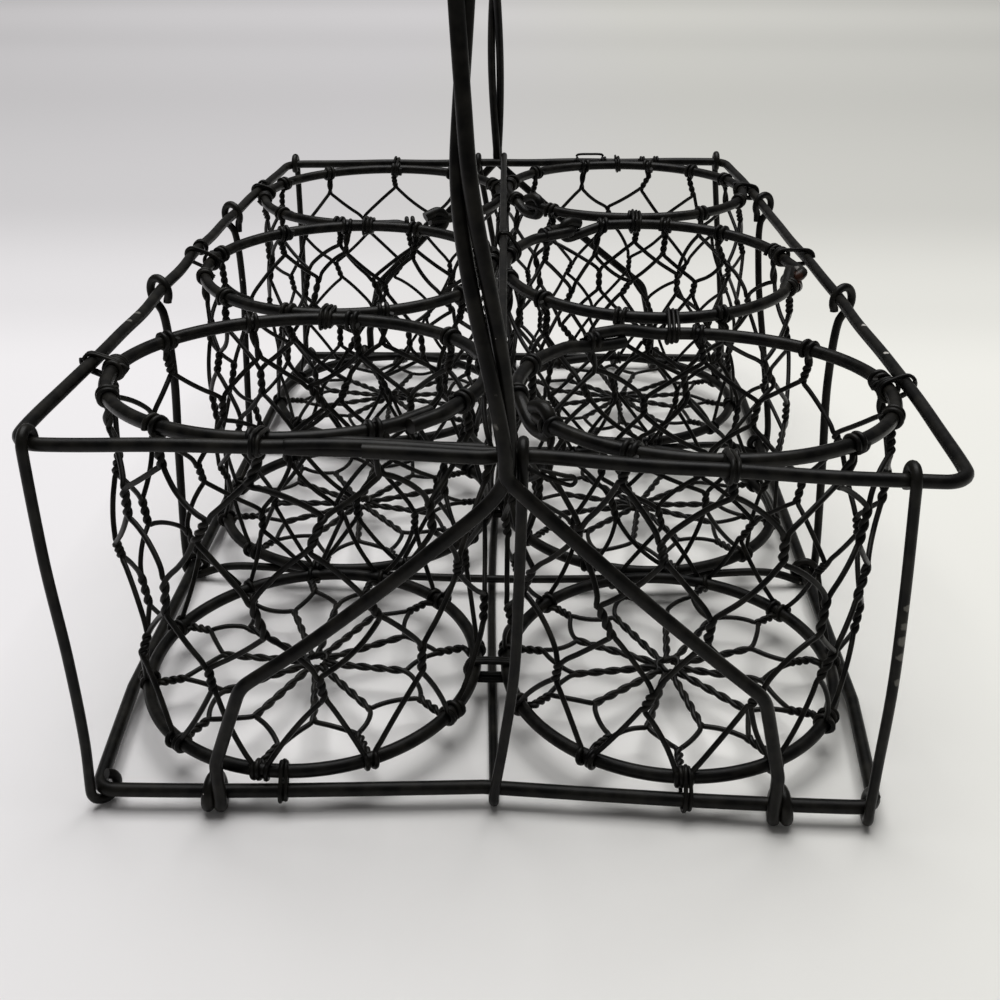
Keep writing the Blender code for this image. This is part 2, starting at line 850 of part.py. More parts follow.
def centre_whole():
    """Moves every piece so that the middle of the underside is the origin."""
    low = np.full(3, 1e9)
    high = -low
    pieces = [o for o in bpy.context.scene.objects if o.type == "MESH"]
    for piece in pieces:
        for vertex in piece.data.vertices:
            low = np.minimum(low, vertex.co)
            high = np.maximum(high, vertex.co)
    move = vec((low[0] + high[0]) / 2, (low[1] + high[1]) / 2, low[2])
    for piece in pieces:
        for vertex in piece.data.vertices:
            vertex.co = tuple(np.array(vertex.co) - move)


def main():
    for obj in list(bpy.data.objects):
        bpy.data.objects.remove(obj)
    top_frame()
    bottom_frame()
    posts()
    cradle("cradle_front", cradle_front_y, front_left_rise, front_right_rise)
    cradle("cradle_rear", cradle_rear_y, rear_left_rise, rear_right_rise)
    cradle_long()
    top_centre_wire()
    handle()
    for name in cups:
        top_ring(name)
        base_ring(name)
        net_wall(name)
        net_floor(name)
    ties()
    centre_whole()


main()
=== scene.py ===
import random
from math import acos, asin, ceil, copysign, cos, degrees, exp, pi, radians, sin, sqrt, tan

import bpy
import numpy as np
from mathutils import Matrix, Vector


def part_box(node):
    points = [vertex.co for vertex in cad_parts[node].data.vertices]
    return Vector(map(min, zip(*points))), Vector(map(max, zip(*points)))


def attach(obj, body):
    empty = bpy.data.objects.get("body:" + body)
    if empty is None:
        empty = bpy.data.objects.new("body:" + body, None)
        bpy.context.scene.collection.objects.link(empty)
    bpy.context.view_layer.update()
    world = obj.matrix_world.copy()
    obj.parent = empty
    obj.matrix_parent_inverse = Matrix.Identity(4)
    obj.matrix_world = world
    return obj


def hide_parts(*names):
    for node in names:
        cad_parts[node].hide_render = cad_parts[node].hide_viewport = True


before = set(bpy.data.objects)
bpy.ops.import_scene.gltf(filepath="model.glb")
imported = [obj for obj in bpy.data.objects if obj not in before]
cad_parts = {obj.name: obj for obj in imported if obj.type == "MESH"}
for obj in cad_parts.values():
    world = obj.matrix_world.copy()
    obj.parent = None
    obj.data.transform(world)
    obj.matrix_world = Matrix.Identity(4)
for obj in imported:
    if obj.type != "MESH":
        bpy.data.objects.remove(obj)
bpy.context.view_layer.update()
bpy.ops.object.select_all(action="DESELECT")
print("frame loaded:", len(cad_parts), "nodes")

up = np.array([0.0, 0.0, 1.0])
right = np.array([1.0, 0.0, 0.0])
back = np.array([0.0, 1.0, 0.0])
turn = 2 * pi

# wire sizes and the frame's layout, in metres
wires = {
    "frame": 0.0032, "ring": 0.0035, "support": 0.0025, "net": 0.0014, "tie": 0.0010,
    "fit": 0.0003,
}
layout = {
    "cupOuter": 0.0950, "cupPitch": 0.0974, "columnX": 0.04835,
    "frameHeight": 0.0880, "halfWidth": 0.09835, "halfLength": 0.1505,
    "bottomInset": 0.0030, "cornerBend": 0.0065, "bottomBend": 0.0040,
}
# thickness, distance between the points, sides round it and slot
kinds = {
    "frame": (wires["frame"], 0.0016, 14, "frame_wire"),
    "bottom": (wires["ring"], 0.0016, 14, "frame_wire"),
    "support": (wires["support"], 0.0013, 12, "frame_wire"),
    "handle": (wires["frame"], 0.0016, 14, "handle_wire"),
    "ring": (wires["ring"], 0.0014, 14, "ring_wire"),
    "baseRing": (wires["ring"], 0.0016, 14, "ring_wire"),
    "net": (wires["net"], 0.0010, 8, "net_wire"),
    "tie": (wires["tie"], 0.0009, 8, "tie_wire"),
}
frameRadius = wires["frame"] / 2
ringRadius = wires["ring"] / 2
supportRadius = wires["support"] / 2
tieRadius = wires["tie"] / 2
curl = wires["frame"] + wires["fit"]
topHook = frameRadius + supportRadius + wires["fit"]
lowHook = ringRadius + supportRadius + wires["fit"]
footEye = ringRadius + frameRadius + wires["fit"]
bottomZ = footEye + frameRadius * cos(pi / 6)
topZ = bottomZ + layout["frameHeight"]
baseRingZ = bottomZ + wires["ring"] + wires["fit"]
centreZ = topZ + supportRadius + ringRadius + 4 * wires["fit"]
ringLine = (layout["cupOuter"] - wires["ring"]) / 2


# outwards at each side of the frame
outOf = {"front": -back, "rear": back, "left": -right, "right": right}


def vec(*values):
    return np.array(values, dtype=float)


def unit(v):
    return v / np.linalg.norm(v)


def mix(a, b, t):
    return a + (b - a) * t


def cup(column, row, shift, oval, lift, tilt, baseShift, baseOval, tops, spokes):
    nominal = vec(column * layout["columnX"], row * layout["cupPitch"], 0)
    return {
        "place": nominal + vec(*shift, 0) / 1000,
        "base": nominal + vec(*baseShift, 0) / 1000,
        "lift": lift / 1000,
        "tilt": tilt / 1000,
        "oval": oval, "baseOval": baseOval, "tops": tops, "spokes": spokes,
    }


# each cup: shifts in millimetres, then the angles in degrees at which the netting
# hangs from the top ring and at which its spokes lie in the floor
cups = {
    "front_left": cup(
        -1, -1, (1.2, 0.2), 0.022, -2.0, 1.5, (0.1, -3.7), -0.03,
        (8, 40, 81, 116, 149, 180, 206, 237, 268, 300, 334),
        (28, 62, 87, 113, 144, 175, 212, 247, 280, 314, 349),
    ),
    "front_right": cup(
        1, -1, (5.0, 1.0), 0.012, -1.9, 1.4, (1.0, -2.9), -0.03,
        (9, 45, 85, 124, 158, 187, 215, 244, 271, 310, 337),
        (22, 54, 89, 121, 157, 188, 221, 255, 285, 314, 346),
    ),
    "middle_left": cup(
        -1, 0, (0.2, 0.7), -0.004, -2.4, -0.9, (0.0, -4.7), -0.01,
        (6, 36, 68, 99, 128, 166, 196, 224, 255, 290, 325),
        (20, 52, 84, 117, 149, 182, 212, 245, 277, 310, 344),
    ),
    "middle_right": cup(
        1, 0, (-1.2, 1.1), -0.006, -0.3, -1.7, (-0.3, -3.1), -0.01,
        (20, 52, 78, 106, 136, 167, 195, 223, 256, 293, 336),
        (4, 38, 68, 100, 132, 165, 197, 229, 262, 296, 330),
    ),
    "rear_left": cup(
        -1, 1, (0.0, 0.8), 0.005, -1.2, -0.2, (-0.2, -4.0), -0.01,
        (24, 58, 90, 126, 158, 190, 222, 256, 288, 322, 353),
        (10, 43, 76, 108, 140, 173, 206, 239, 272, 305, 338),
    ),
    "rear_right": cup(
        1, 1, (-2.9, 1.8), -0.010, 0.6, 0.4, (-1.2, -2.4), -0.01,
        (24, 49, 74, 108, 140, 172, 203, 231, 270, 304, 337),
        (8, 41, 73, 105, 138, 171, 203, 235, 268, 301, 335),
    ),
}

topShift = {
    "front_left": (-1.1, 2.1, 2.7),
    "front_right": (4.7, -0.6, -2.5),
    "rear_left": (3.3, 0.1, -1.2),
    "rear_right": (-7.9, 1.4, 0.8),
}
bottomShift = {
    "front_left": (1.9, -1.6, 0),
    "front_right": (-1.2, -2.6, 0),
    "rear_left": (2.4, -0.6, 0),
    "rear_right": (0.6, 1.4, 0),
}


def cornerOf(name, shift, inset, z):
    signX = 1 if "right" in name else -1
    signY = 1 if "rear" in name else -1
    x = signX * (layout["halfWidth"] - inset)
    y = signY * (layout["halfLength"] - inset * 0.1)
    return vec(x, y, z) + vec(*shift[name]) / 1000


topCorner = {name: cornerOf(name, topShift, 0, topZ) for name in topShift}
bottomCorner = {
    name: cornerOf(name, bottomShift, layout["bottomInset"], bottomZ) for name in bottomShift
}

# how far each bar bows, at shares of its length; the two side bars' values are millimetres
straight = ((0, 0), (1, 0))
flatBow = ((0, 0), (0.14, 1.0), (0.86, 1.0), (1, 0))
middleBow = ((0, 0), (0.2, 0.2), (0.5, 1.0), (0.8, 0.2), (1, 0))
liftedBow = ((0, 0), (0.16, 0.6), (0.43, 1.0), (0.55, 0.7), (0.75, 0.25), (1, 0))
leftBow = (
    (0, 0), (0.06, -0.7), (0.14, -0.4), (0.28, 0.2), (0.36, -0.8), (0.46, -1.6),
    (0.58, -2.5), (0.68, -2.3), (0.84, -1.8), (0.94, -0.6), (1, 0),
)
rightBow = (
    (0, 0), (0.07, 1.5), (0.15, 2.6), (0.3, 2.5), (0.4, 3.1), (0.5, 2.7),
    (0.62, 2.3), (0.74, 1.9), (0.87, 2.1), (0.94, 1.0), (1, 0),
)
topBars = {
    "front": (up * 0.0028, liftedBow),
    "rear": (up * 0, straight),
    "left": (right * 0.001, leftBow),
    "right": (right * 0.001, rightBow),
}
bottomBars = {
    "front": (back * 0.0042, middleBow),
    "rear": (up * 0, straight),
    "left": (right * -0.0038, flatBow),
    "right": (right * 0.0038, flatBow),
}
# the corners at the ends of each bar, and the axis along it
barEnds = {
    "front": ("front_left", "front_right", 0),
    "rear": ("rear_left", "rear_right", 0),
    "left": ("front_left", "rear_left", 1),
    "right": ("front_right", "rear_right", 1),
}


def barPoint(corners, bars, side, value):
    first, last, axis = barEnds[side]
    bow, bends = bars[side]
    a, b = corners[first], corners[last]
    t = (value - a[axis]) / (b[axis] - a[axis])
    share = np.interp(t, [place for place, _ in bends], [amount for _, amount in bends])
    return mix(a, b, t) + bow * share


def topBar(side, value):
    return barPoint(topCorner, topBars, side, value)


def bottomBar(side, value):
    return barPoint(bottomCorner, bottomBars, side, value)


def loopPoints(corners, bars):
    points = []
    for side in ("left", "rear", "right", "front"):
        a, b = [corners[end] for end in barEnds[side][:2]]
        bow, bends = bars[side]
        bar = [mix(a, b, t) + bow * share for t, share in bends]
        if side in ("right", "front"):
            bar.reverse()
        points += bar[:-1]
    return points


def ringHeight(name):
    place = cups[name]["place"]
    return topBar("left" if place[0] < 0 else "right", place[1])[2] + cups[name]["lift"]


def ovalPoint(place, oval, radius, angle, z):
    x = radius * (1 + oval) * cos(angle)
    y = radius * (1 - oval) * sin(angle)
    return vec(place[0] + x, place[1] + y, z)


def ringPoint(name, angle, radius=ringLine):
    made = cups[name]
    z = ringHeight(name) - made["tilt"] * sin(angle) * radius / ringLine
    return ovalPoint(made["place"], made["oval"], radius, angle, z)


def basePoint(name, angle, radius=ringLine, z=baseRingZ):
    made = cups[name]
    return ovalPoint(made["base"], made["baseOval"], radius, angle, z)


# the solids were centred by their base: the same move for the wires
low, high = [np.array(corner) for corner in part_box("cup_base_ring_middle_left")]
move = (low + high) / 2 - basePoint("middle_left", 0, 0)
print("wires move by (mm):", [round(v * 1000, 3) for v in move])


def coil(centre, u, v, axis, steps, spot):
    # spot(t) gives the angle, the radius and the share of the axis
    points = []
    for i in range(steps + 1):
        angle, radius, level = spot(i / steps)
        around = radius * (cos(angle) * u + sin(angle) * v)
        points.append(centre + around + axis * level)
    return points


def arc(centre, u, v, radius, start, end, steps, drift=up * 0):
    # start and end in degrees, from u towards v
    start, end = radians(start), radians(end)
    return coil(centre, u, v, drift, steps, lambda t: (mix(start, end, t), radius, t))


def rounded(points, radius, steps=6):
    out = [points[0]]
    for before, here, after in zip(points[:-2], points[1:-1], points[2:]):
        a = unit(before - here)
        b = unit(after - here)
        half = acos(max(-1.0, min(1.0, a.dot(b)))) / 2
        if half > radians(88):
            out.append(here)
            continue
        reach = radius / tan(half)
        limit = 0.48 * min(np.linalg.norm(before - here), np.linalg.norm(after - here))
        reach = min(reach, limit)
        r = reach * tan(half)
        centre = here + unit(a + b) * (r / sin(half))
        swing = 180 - 2 * degrees(half)
        out += arc(centre, unit(here + a * reach - centre), -a, r, 0, swing, steps)
    out.append(points[-1])
    return out


def smoothPath(points, spacing, closed=False):
    # a curve through the points, with new points at this spacing
    kept = [points[0]]
    for q in points[1:]:
        if np.linalg.norm(q - kept[-1]) > 1e-5:
            kept.append(q)
    if closed:
        p = [kept[-1]] + kept + [kept[0], kept[1]]
    else:
        p = [2 * kept[0] - kept[1]] + kept + [2 * kept[-1] - kept[-2]]
    out = []
    for a, b, c, d in zip(p[:-3], p[1:-2], p[2:-1], p[3:]):
        t1 = np.linalg.norm(b - a) ** 0.5
        t2 = t1 + np.linalg.norm(c - b) ** 0.5
        t3 = t2 + np.linalg.norm(d - c) ** 0.5
        steps = max(1, ceil(np.linalg.norm(c - b) / spacing))
        for t in np.linspace(t1, t2, steps, endpoint=False):
            ab = mix(a, b, t / t1)
            bc = mix(b, c, (t - t1) / (t2 - t1))
            cd = mix(c, d, (t - t2) / (t3 - t2))
            abc = mix(ab, bc, t / t2)
            bcd = mix(bc, cd, (t - t1) / (t3 - t1))
            out.append(mix(abc, bcd, (t - t1) / (t2 - t1)))
    if not closed:
        out.append(kept[-1])
    return out


def lengthsAlong(points):
    lengths = [0.0]
    for a, b in zip(points[:-1], points[1:]):
        lengths.append(lengths[-1] + np.linalg.norm(b - a))
    return lengths


def wander(points, size, wavelength, seed):
    # hand-bent wire is never quite straight: a slow sideways drift, none at the ends
    dice = random.Random(seed)
    waves = [(dice.uniform(0.7, 1.5), dice.uniform(0, turn), unit(vec(
        dice.uniform(-1, 1), dice.uniform(-1, 1), dice.uniform(-0.6, 0.6)))) for _ in range(3)]
    lengths = lengthsAlong(points)
    out = []
    for point, along in zip(points, lengths):
        ends = min(1.0, along / 0.01, (lengths[-1] - along) / 0.01)
        drift = sum(
            axis * sin(turn * along / (wavelength * speed) + phase)
            for speed, phase, axis in waves
        )
        out.append(point + drift * size * ends / 2)
    return out


tones = {
    "paint": (0.0016, 0.0015, 0.0013, 1),
    "worn": (0.0150, 0.0138, 0.0112, 1),
    "scuff": (0.13, 0.125, 0.11, 1),
    "chip": (0.46, 0.44, 0.41, 1),
    "steel": (0.62, 0.60, 0.57, 1),
    "rust": (0.038, 0.015, 0.009, 1),
}
finish = {
    "specular": 0.14, "patchScale": 220.0, "patchRange": (0.40, 0.75), "chipScale": 420.0,
    "chipEdge": 0.02, "grainScale": 1500.0, "grainDepth": 0.22, "lumpScale": 480.0,
    "lumpHeight": 0.0002, "spotScale": 700.0, "spotRange": (1.05, 1.35),
}


def place(tree, kind, **settings):
    node = tree.nodes.new("ShaderNode" + kind)
    for key, value in settings.items():
        setattr(node, key, value)
    return node


def feed(tree, value, socket):
    # a socket's output is linked, anything else is its plain value
    if isinstance(value, bpy.types.NodeSocket):
        tree.links.new(value, socket)
    else:
        socket.default_value = value


def feedAll(tree, node, values):
    for name, value in values.items():
        feed(tree, value, node.inputs[name])


def noise(tree, where, scale, detail, roughness=0.5):
    node = place(tree, "TexNoise")
    feedAll(tree, node, {
        "Vector": where, "Scale": scale, "Detail": detail, "Roughness": roughness,
    })
    return node.outputs["Fac"]


def ranged(tree, value, low, high, start=0.0, end=1.0):
    node = place(tree, "MapRange")
    feedAll(tree, node, {
        "Value": value, "From Min": low, "From Max": high, "To Min": start, "To Max": end,
    })
    return node.outputs["Result"]


def calc(tree, operation, *values):
    node = place(tree, "Math", operation=operation)
    for value, socket in zip(values, node.inputs):
        feed(tree, value, socket)
    return node.outputs["Value"]


def mixed(tree, factor, a, b, way="MIX"):
    node = place(tree, "Mix", data_type="RGBA", blend_type=way)
    feedAll(tree, node, {"Factor": factor, "A": a, "B": b})
    return node.outputs["Result"]


def newGroup(name, inputs, outputs):
    # each socket: its label, its kind and, for most inputs, a value
    group = bpy.data.node_groups.new(name, "ShaderNodeTree")
    for way, sockets in (("INPUT", inputs), ("OUTPUT", outputs)):
        for label, kind, *values in sockets:
            socket = group.interface.new_socket(
                name=label, in_out=way, socket_type="NodeSocket" + kind)
            for value in values:
                socket.default_value = value
    given, result = group.nodes.new("NodeGroupInput"), group.nodes.new("NodeGroupOutput")
    return group, given.outputs, result


def wearGroup():
    # paint film: thin and greyer in patches, with small chips down to the metal
    group, given, result = newGroup("paintWear", (
        ("Vector", "Vector"),
        ("Paint", "Color", tones["paint"]),
        ("Worn", "Color", tones["worn"]),
        ("Chip", "Color", tones["chip"]),
        ("Patch Scale", "Float", finish["patchScale"]),
        ("Chip Scale", "Float", finish["chipScale"]),
        ("Chip Limit", "Float", 0.78),
        ("Roughness", "Float", 0.30),
    ), (
        ("Color", "Color"), ("Roughness", "Float"), ("Metal", "Float"), ("Height", "Float"),
    ))
    where = given["Vector"]
    patches = noise(group, where, given["Patch Scale"], 5.0)
    patchMask = ranged(group, patches, *finish["patchRange"])
    film = mixed(group, patchMask, given["Paint"], given["Worn"])
    chips = noise(group, where, given["Chip Scale"], 3.0, 0.6)
    edge = calc(group, "ADD", given["Chip Limit"], finish["chipEdge"])
    chipMask = ranged(group, chips, given["Chip Limit"], edge)
    grain = noise(group, where, finish["grainScale"], 2.0)
    lumps = noise(group, where, finish["lumpScale"], 4.0)
    feedAll(group, result, {
        "Color": mixed(group, chipMask, film, given["Chip"]),
        "Roughness": calc(
            group, "MULTIPLY_ADD", grain, finish["grainDepth"], given["Roughness"]),
        "Metal": chipMask,
        "Height": calc(group, "SUBTRACT", lumps, chipMask),
    })
    return group


def spotGroup():
    # 1 near a point, 0 beyond its radius, with a ragged edge
    group, given, result = newGroup("spotMask", (
        ("Vector", "Vector"),
        ("Centre", "Vector"),
        ("Radius", "Float", 0.004),
    ), (("Mask", "Float"),))
    reach = place(group, "VectorMath", operation="DISTANCE")
    feed(group, given["Vector"], reach.inputs[0])
    feed(group, given["Centre"], reach.inputs[1])
    share = calc(group, "DIVIDE", reach.outputs["Value"], given["Radius"])
    ragged = noise(group, given["Vector"], finish["spotScale"], 3.0)
    wavy = calc(group, "ADD", share, ragged)
    feed(group, ranged(group, wavy, *finish["spotRange"], 1.0, 0.0), result.inputs["Mask"])
    return group


wear = wearGroup()
spot = spotGroup()


def newMaterial(name):
    material = bpy.data.materials.new(name)
    material.use_nodes = True
    tree = material.node_tree
    where = place(tree, "TexCoord").outputs["Object"]
    return material, tree, tree.nodes["Principled BSDF"], where


def blackWire(name, roughness, chipLimit, spots=(), bump=0.25):
    # spots where the paint is off: a point given like the wires' own, radius, tone, metallic
    material, tree, shader, where = newMaterial(name)
    film = place(tree, "Group", node_tree=wear)
    feedAll(tree, film, {"Vector": where, "Roughness": roughness, "Chip Limit": chipLimit})
    colour = film.outputs["Color"]
    metal = film.outputs["Metal"]
    for point, radius, tone, metallic in spots:
        mask = place(tree, "Group", node_tree=spot)
        feedAll(tree, mask, {"Vector": where, "Centre": tuple(point + move), "Radius": radius})
        colour = mixed(tree, mask.outputs["Mask"], colour, tones[tone])
        if metallic:
            metal = calc(tree, "MAXIMUM", metal, mask.outputs["Mask"])
    relief = place(tree, "Bump")
    feedAll(tree, relief, {
        "Strength": bump, "Distance": finish["lumpHeight"], "Height": film.outputs["Height"],
    })
    feedAll(tree, shader, {
        "Base Color": colour,
        "Roughness": film.outputs["Roughness"],
        "Metallic": metal,
        "Specular IOR Level": finish["specular"],
        "Normal": relief.outputs["Normal"],
    })
    return material


def nameOf(node):
    first, *words = node.split("_")
    return first + "".join(word.title() for word in words)


def wirePiece(kind, paths, material, *nodes, name=None, closed=False, wave=None):
    # named after the first node that it replaces, or as given
    name = name or nameOf(nodes[0])
    thickness, gap, sides, slotName = kinds[kind]
    shape = bpy.data.curves.new(name, "CURVE")
    shape.dimensions = "3D"
    shape.bevel_depth = thickness / 2
    shape.bevel_resolution = sides // 2 - 2
    shape.use_fill_caps = True
    for path in paths:
        path = smoothPath(path, gap, closed)
        if wave is not None:
            path = wander(path, *wave)
        spline = shape.splines.new("POLY")
        spline.points.add(len(path) - 1)
        flat = np.ones((len(path), 4))
        flat[:, :3] = np.array(path) + move
        spline.points.foreach_set("co", flat.ravel())
        spline.use_cyclic_u = closed
    piece = bpy.data.objects.new(name, shape)
    bpy.context.scene.collection.objects.link(piece)
    bpy.ops.object.select_all(action="DESELECT")
    piece.select_set(True)
    bpy.context.view_layer.objects.active = piece
    bpy.ops.object.convert(target="MESH")
    bpy.ops.object.shade_smooth_by_angle(angle=radians(50))
    piece.select_set(False)
    piece.data.materials.clear()
    piece.data.materials.append(material)
    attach(piece, "root")
    if nodes:
        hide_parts(*nodes)


# the top frame is one wire whose two ends lie side by side near the handle
lap = {"left": -0.0243, "right": 0.0012, "leftSlope": 0.0096, "rightSlope": 0.0040}


def topFramePath():
    def onFront(x, side=0):
        return topBar("front", x) + back * side * curl / 2

    left, slope, end = lap["left"], lap["leftSlope"], lap["right"]
    path = [onFront(end, 1), onFront(left - slope / 3, 1), onFront(left - slope)]
    path += loopPoints(topCorner, topBars)
    path += [onFront(end + lap["rightSlope"]), onFront(end, -1), onFront(left, -1)]
    return rounded(path, layout["cornerBend"])


# chips on the tops of the side bars: the bar, the place along it, the radius and the tone
barChips = {
    "depth": 0.0015,
    "spots": (
        ("right", -0.0580, 0.0010, "chip"), ("right", -0.0790, 0.0009, "chip"),
        ("right", 0.0140, 0.0012, "chip"), ("left", -0.0620, 0.0012, "scuff"),
        ("left", -0.0690, 0.0010, "scuff"),
    ),
}
frameBlack = blackWire("frameBlack", 0.27, 0.775, [
    (topBar(side, y) + up * barChips["depth"], radius, tone, False)
    for side, y, radius, tone in barChips["spots"]
])
bottomBlack = blackWire("bottomBlack", 0.30, 0.765)
supportBlack = blackWire("supportBlack", 0.28, 0.760)

wirePiece(
    "frame", [topFramePath()], frameBlack, "top_frame", name="topFrameWire",
    wave=(0.0003, 0.05, 3),
)
bottomLoop = loopPoints(bottomCorner, bottomBars)
bottomRound = rounded([bottomLoop[-1]] + bottomLoop + [bottomLoop[0]], layout["bottomBend"])[1:-1]
wirePiece(
    "bottom", [bottomRound], bottomBlack, "bottom_frame", name="bottomFrameWire", closed=True,
)

# four posts, each hooked over the top frame and curled round a bottom corner: tip and end
# are the angles of its two ends, and bows are millimetres to the right
posts = {
    "front_left": {"inset": 0.0034, "tip": 215, "end": 250, "foot": 0, "bows": (-0.1, 0.9, 0.9)},
    "front_right": {
        "inset": 0.0126, "tip": 235, "end": 285, "foot": 0.0022, "bows": (0.9, 1.2, 0.4),
    },
    "rear_left": {"inset": 0.0026, "tip": 225, "end": 270, "foot": 0, "bows": (0.4, 0.5, 0.2)},
    "rear_right": {"inset": 0.0030, "tip": 225, "end": 270, "foot": 0, "bows": (0, 0.3, 0.2)},
}
postShape = {"bowsAt": (0.3, 0.58, 0.84), "footBack": 0.0004, "footPitch": 1.4}


def postPath(name, made):
    side = "rear" if "rear" in name else "front"
    inward = -1 if "right" in name else 1
    out = outOf[side]
    top = topBar(side, topCorner[name][0] + inward * made["inset"])
    path = arc(top, out, up, topHook, made["tip"], 0, 16)
    reach = lowHook + wires["fit"] / 2
    if made["foot"]:
        # round the bottom bar beside the corner
        bottom = bottomBar(side, bottomCorner[name][0] + inward * made["foot"])
        bottom = bottom - out * postShape["footBack"]
        facing, drift = out, -right * inward * supportRadius * postShape["footPitch"]
    else:
        facing, drift = unit(out - right * inward), up * 0
        bottom = bottomCorner[name] - facing * layout["bottomBend"] * (sqrt(2) - 1)
    low = arc(bottom, facing, up, reach, 0, -made["end"], 18, drift)
    middle = [
        mix(path[-1], low[0], t) + right * bow / 1000
        for t, bow in zip(postShape["bowsAt"], made["bows"])
    ]
    return path + middle + low


# the front right post's paint is scraped off between its first two bows: places and radii
scrape = {
    "side": vec(0.0006, -0.0009, 0),
    "spots": ((0.1, 0.0011), (0.3, 0.0014), (0.45, 0.0016), (0.62, 0.0013), (0.9, 0.0012)),
}
scraped = postPath("front_right", posts["front_right"])[17:19]
postBlack = blackWire("postBlack", 0.28, 0.760, [
    (mix(*scraped, t) + scrape["side"], radius, "scuff", False)
    for t, radius in scrape["spots"]
])
for name, made in posts.items():
    finished = postBlack if name == "front_right" else supportBlack
    wirePiece("support", [postPath(name, made)], finished, "post_" + name)
print("frames and posts done")

# two cross wires under the cups, hooked over the top frame's sides
cradles = {
    "cradle_front": {"y": -0.0400, "left": 0.0050, "right": 0.0100, "hang": 0.0008},
    "cradle_rear": {"y": 0.0575, "left": 0.0030, "right": 0.0235, "hang": 0.0034},
}
cradleShape = {
    "cut": 222, "under": -72, "skew": 38, "loose": 0.0007, "slip": 0.0014, "lower": 0.0010,
    "hangLean": 0.1, "tuck": 0.0008, "shankIn": 0.0016, "eyeTurn": 470, "eyePitch": 1.33,
    "leave": 3.4, "bow": 0.0090,
}


def cradleEnd(side, yTop, yBottom, hang):
    # from the cut end up and out over the bar, back under it, then round the bottom bar
    out = outOf[side]
    top = topBar(side, yTop)
    bottom = bottomBar(side, yBottom)
    pitch = -back * (wires["support"] + wires["fit"])
    skew = radians(cradleShape["skew"])
    eye = topHook + cradleShape["loose"]
    loose = top + out * cradleShape["slip"] - up * cradleShape["lower"]
    facing = cos(skew) * out + sin(skew) * back
    cut, under = cradleShape["cut"], cradleShape["under"]
    points = arc(loose - pitch, facing, up, eye, cut, under, 22, pitch)
    points = [points[0] - up * hang + out * hang * cradleShape["hangLean"]] + points
    tucked = top + out * cradleShape["tuck"] - up * (eye + 2.2 * supportRadius)
    outside = bottom + out * lowHook + up * 2 * lowHook
    points.append(tucked)
    for t, share in ((0.25, 1.0), (0.6, 0.5)):
        points.append(mix(tucked, outside, t) - out * cradleShape["shankIn"] * share)
    points.append(outside)
    drift = pitch * cradleShape["eyePitch"]
    points += arc(bottom, out, up, lowHook, 0, -cradleShape["eyeTurn"], 32, drift)
    leave = bottom + drift - out * (cradleShape["leave"] * lowHook)
    leave[2] = bottomZ
    points.append(leave)
    return points


for name, made in cradles.items():
    path = cradleEnd("left", made["y"] + made["left"], made["y"], made["hang"])
    for x in (-0.5, 0.0, 0.5):
        bow = cradleShape["bow"] * (1 - x * x)
        path.append(vec(x * layout["columnX"] * 2, made["y"] - bow, bottomZ))
    rightY = made["y"] + made["right"]
    path += reversed(cradleEnd("right", rightY, made["y"] + supportRadius, made["hang"]))
    wirePiece("support", [path], supportBlack, name, name=nameOf(name + "_wire"))

# one long wire under both rows of cups, hooked over the two end bars
longWire = {
    "topFront": 0.0093, "frontX": 0.0030, "frontBow": 0.0022, "middleX": -0.0014,
    "rest": 0.0400, "topRear": -0.01385, "rearX": 0.0018,
}
handleFeet = {"front": 0.0062, "rear": -0.0058}


def longHalf(side, xTop, xBottom, bow):
    out = outOf[side]
    top = topBar(side, xTop)
    bottom = bottomBar(side, xBottom)
    half = arc(top, out, up, topHook, 225, 0, 16)
    high, low = top + out * topHook, bottom + out * lowHook
    for t, share in ((0.3, 0.62), (0.6, 1.0), (0.82, 0.55)):
        half.append(mix(high, low, t) + right * bow * share)
    half += arc(bottom, out, up, lowHook, 0, -90, 8)
    return half


longPath = longHalf("front", longWire["topFront"], longWire["frontX"], longWire["frontBow"])
longPath.append(vec(longWire["middleX"], -longWire["rest"], supportRadius))
longPath.append(vec(longWire["middleX"], longWire["rest"], supportRadius))
longPath += reversed(longHalf("rear", longWire["topRear"], longWire["rearX"], 0))
wirePiece("support", [longPath], supportBlack, "cradle_long", name="longCradleWire")

centreWire = {
    "frontX": 0.0058, "frontLean": -0.0015, "middleX": 0.0010, "rearX": -0.0028,
    "rearLean": 0.0006, "level": 8 * curl,
}


def centrePath():
    # tucked behind the front bar, over the rear bar
    front = topBar("front", centreWire["frontX"])
    rear = topBar("rear", centreWire["rearX"])
    path = arc(front, -back, up, topHook, 265, 120, 10)
    level = centreWire["level"]
    path.append(vec(front[0] + centreWire["frontLean"], front[1] + level, centreZ))
    path.append(vec(centreWire["middleX"], 0, centreZ))
    path.append(vec(rear[0] + centreWire["rearLean"], rear[1] - level, centreZ))
    path += arc(rear, back, up, topHook, 90, -45, 10)
    return path


wirePiece("support", [centrePath()], supportBlack, "top_centre_wire")
print("cradle wires done")

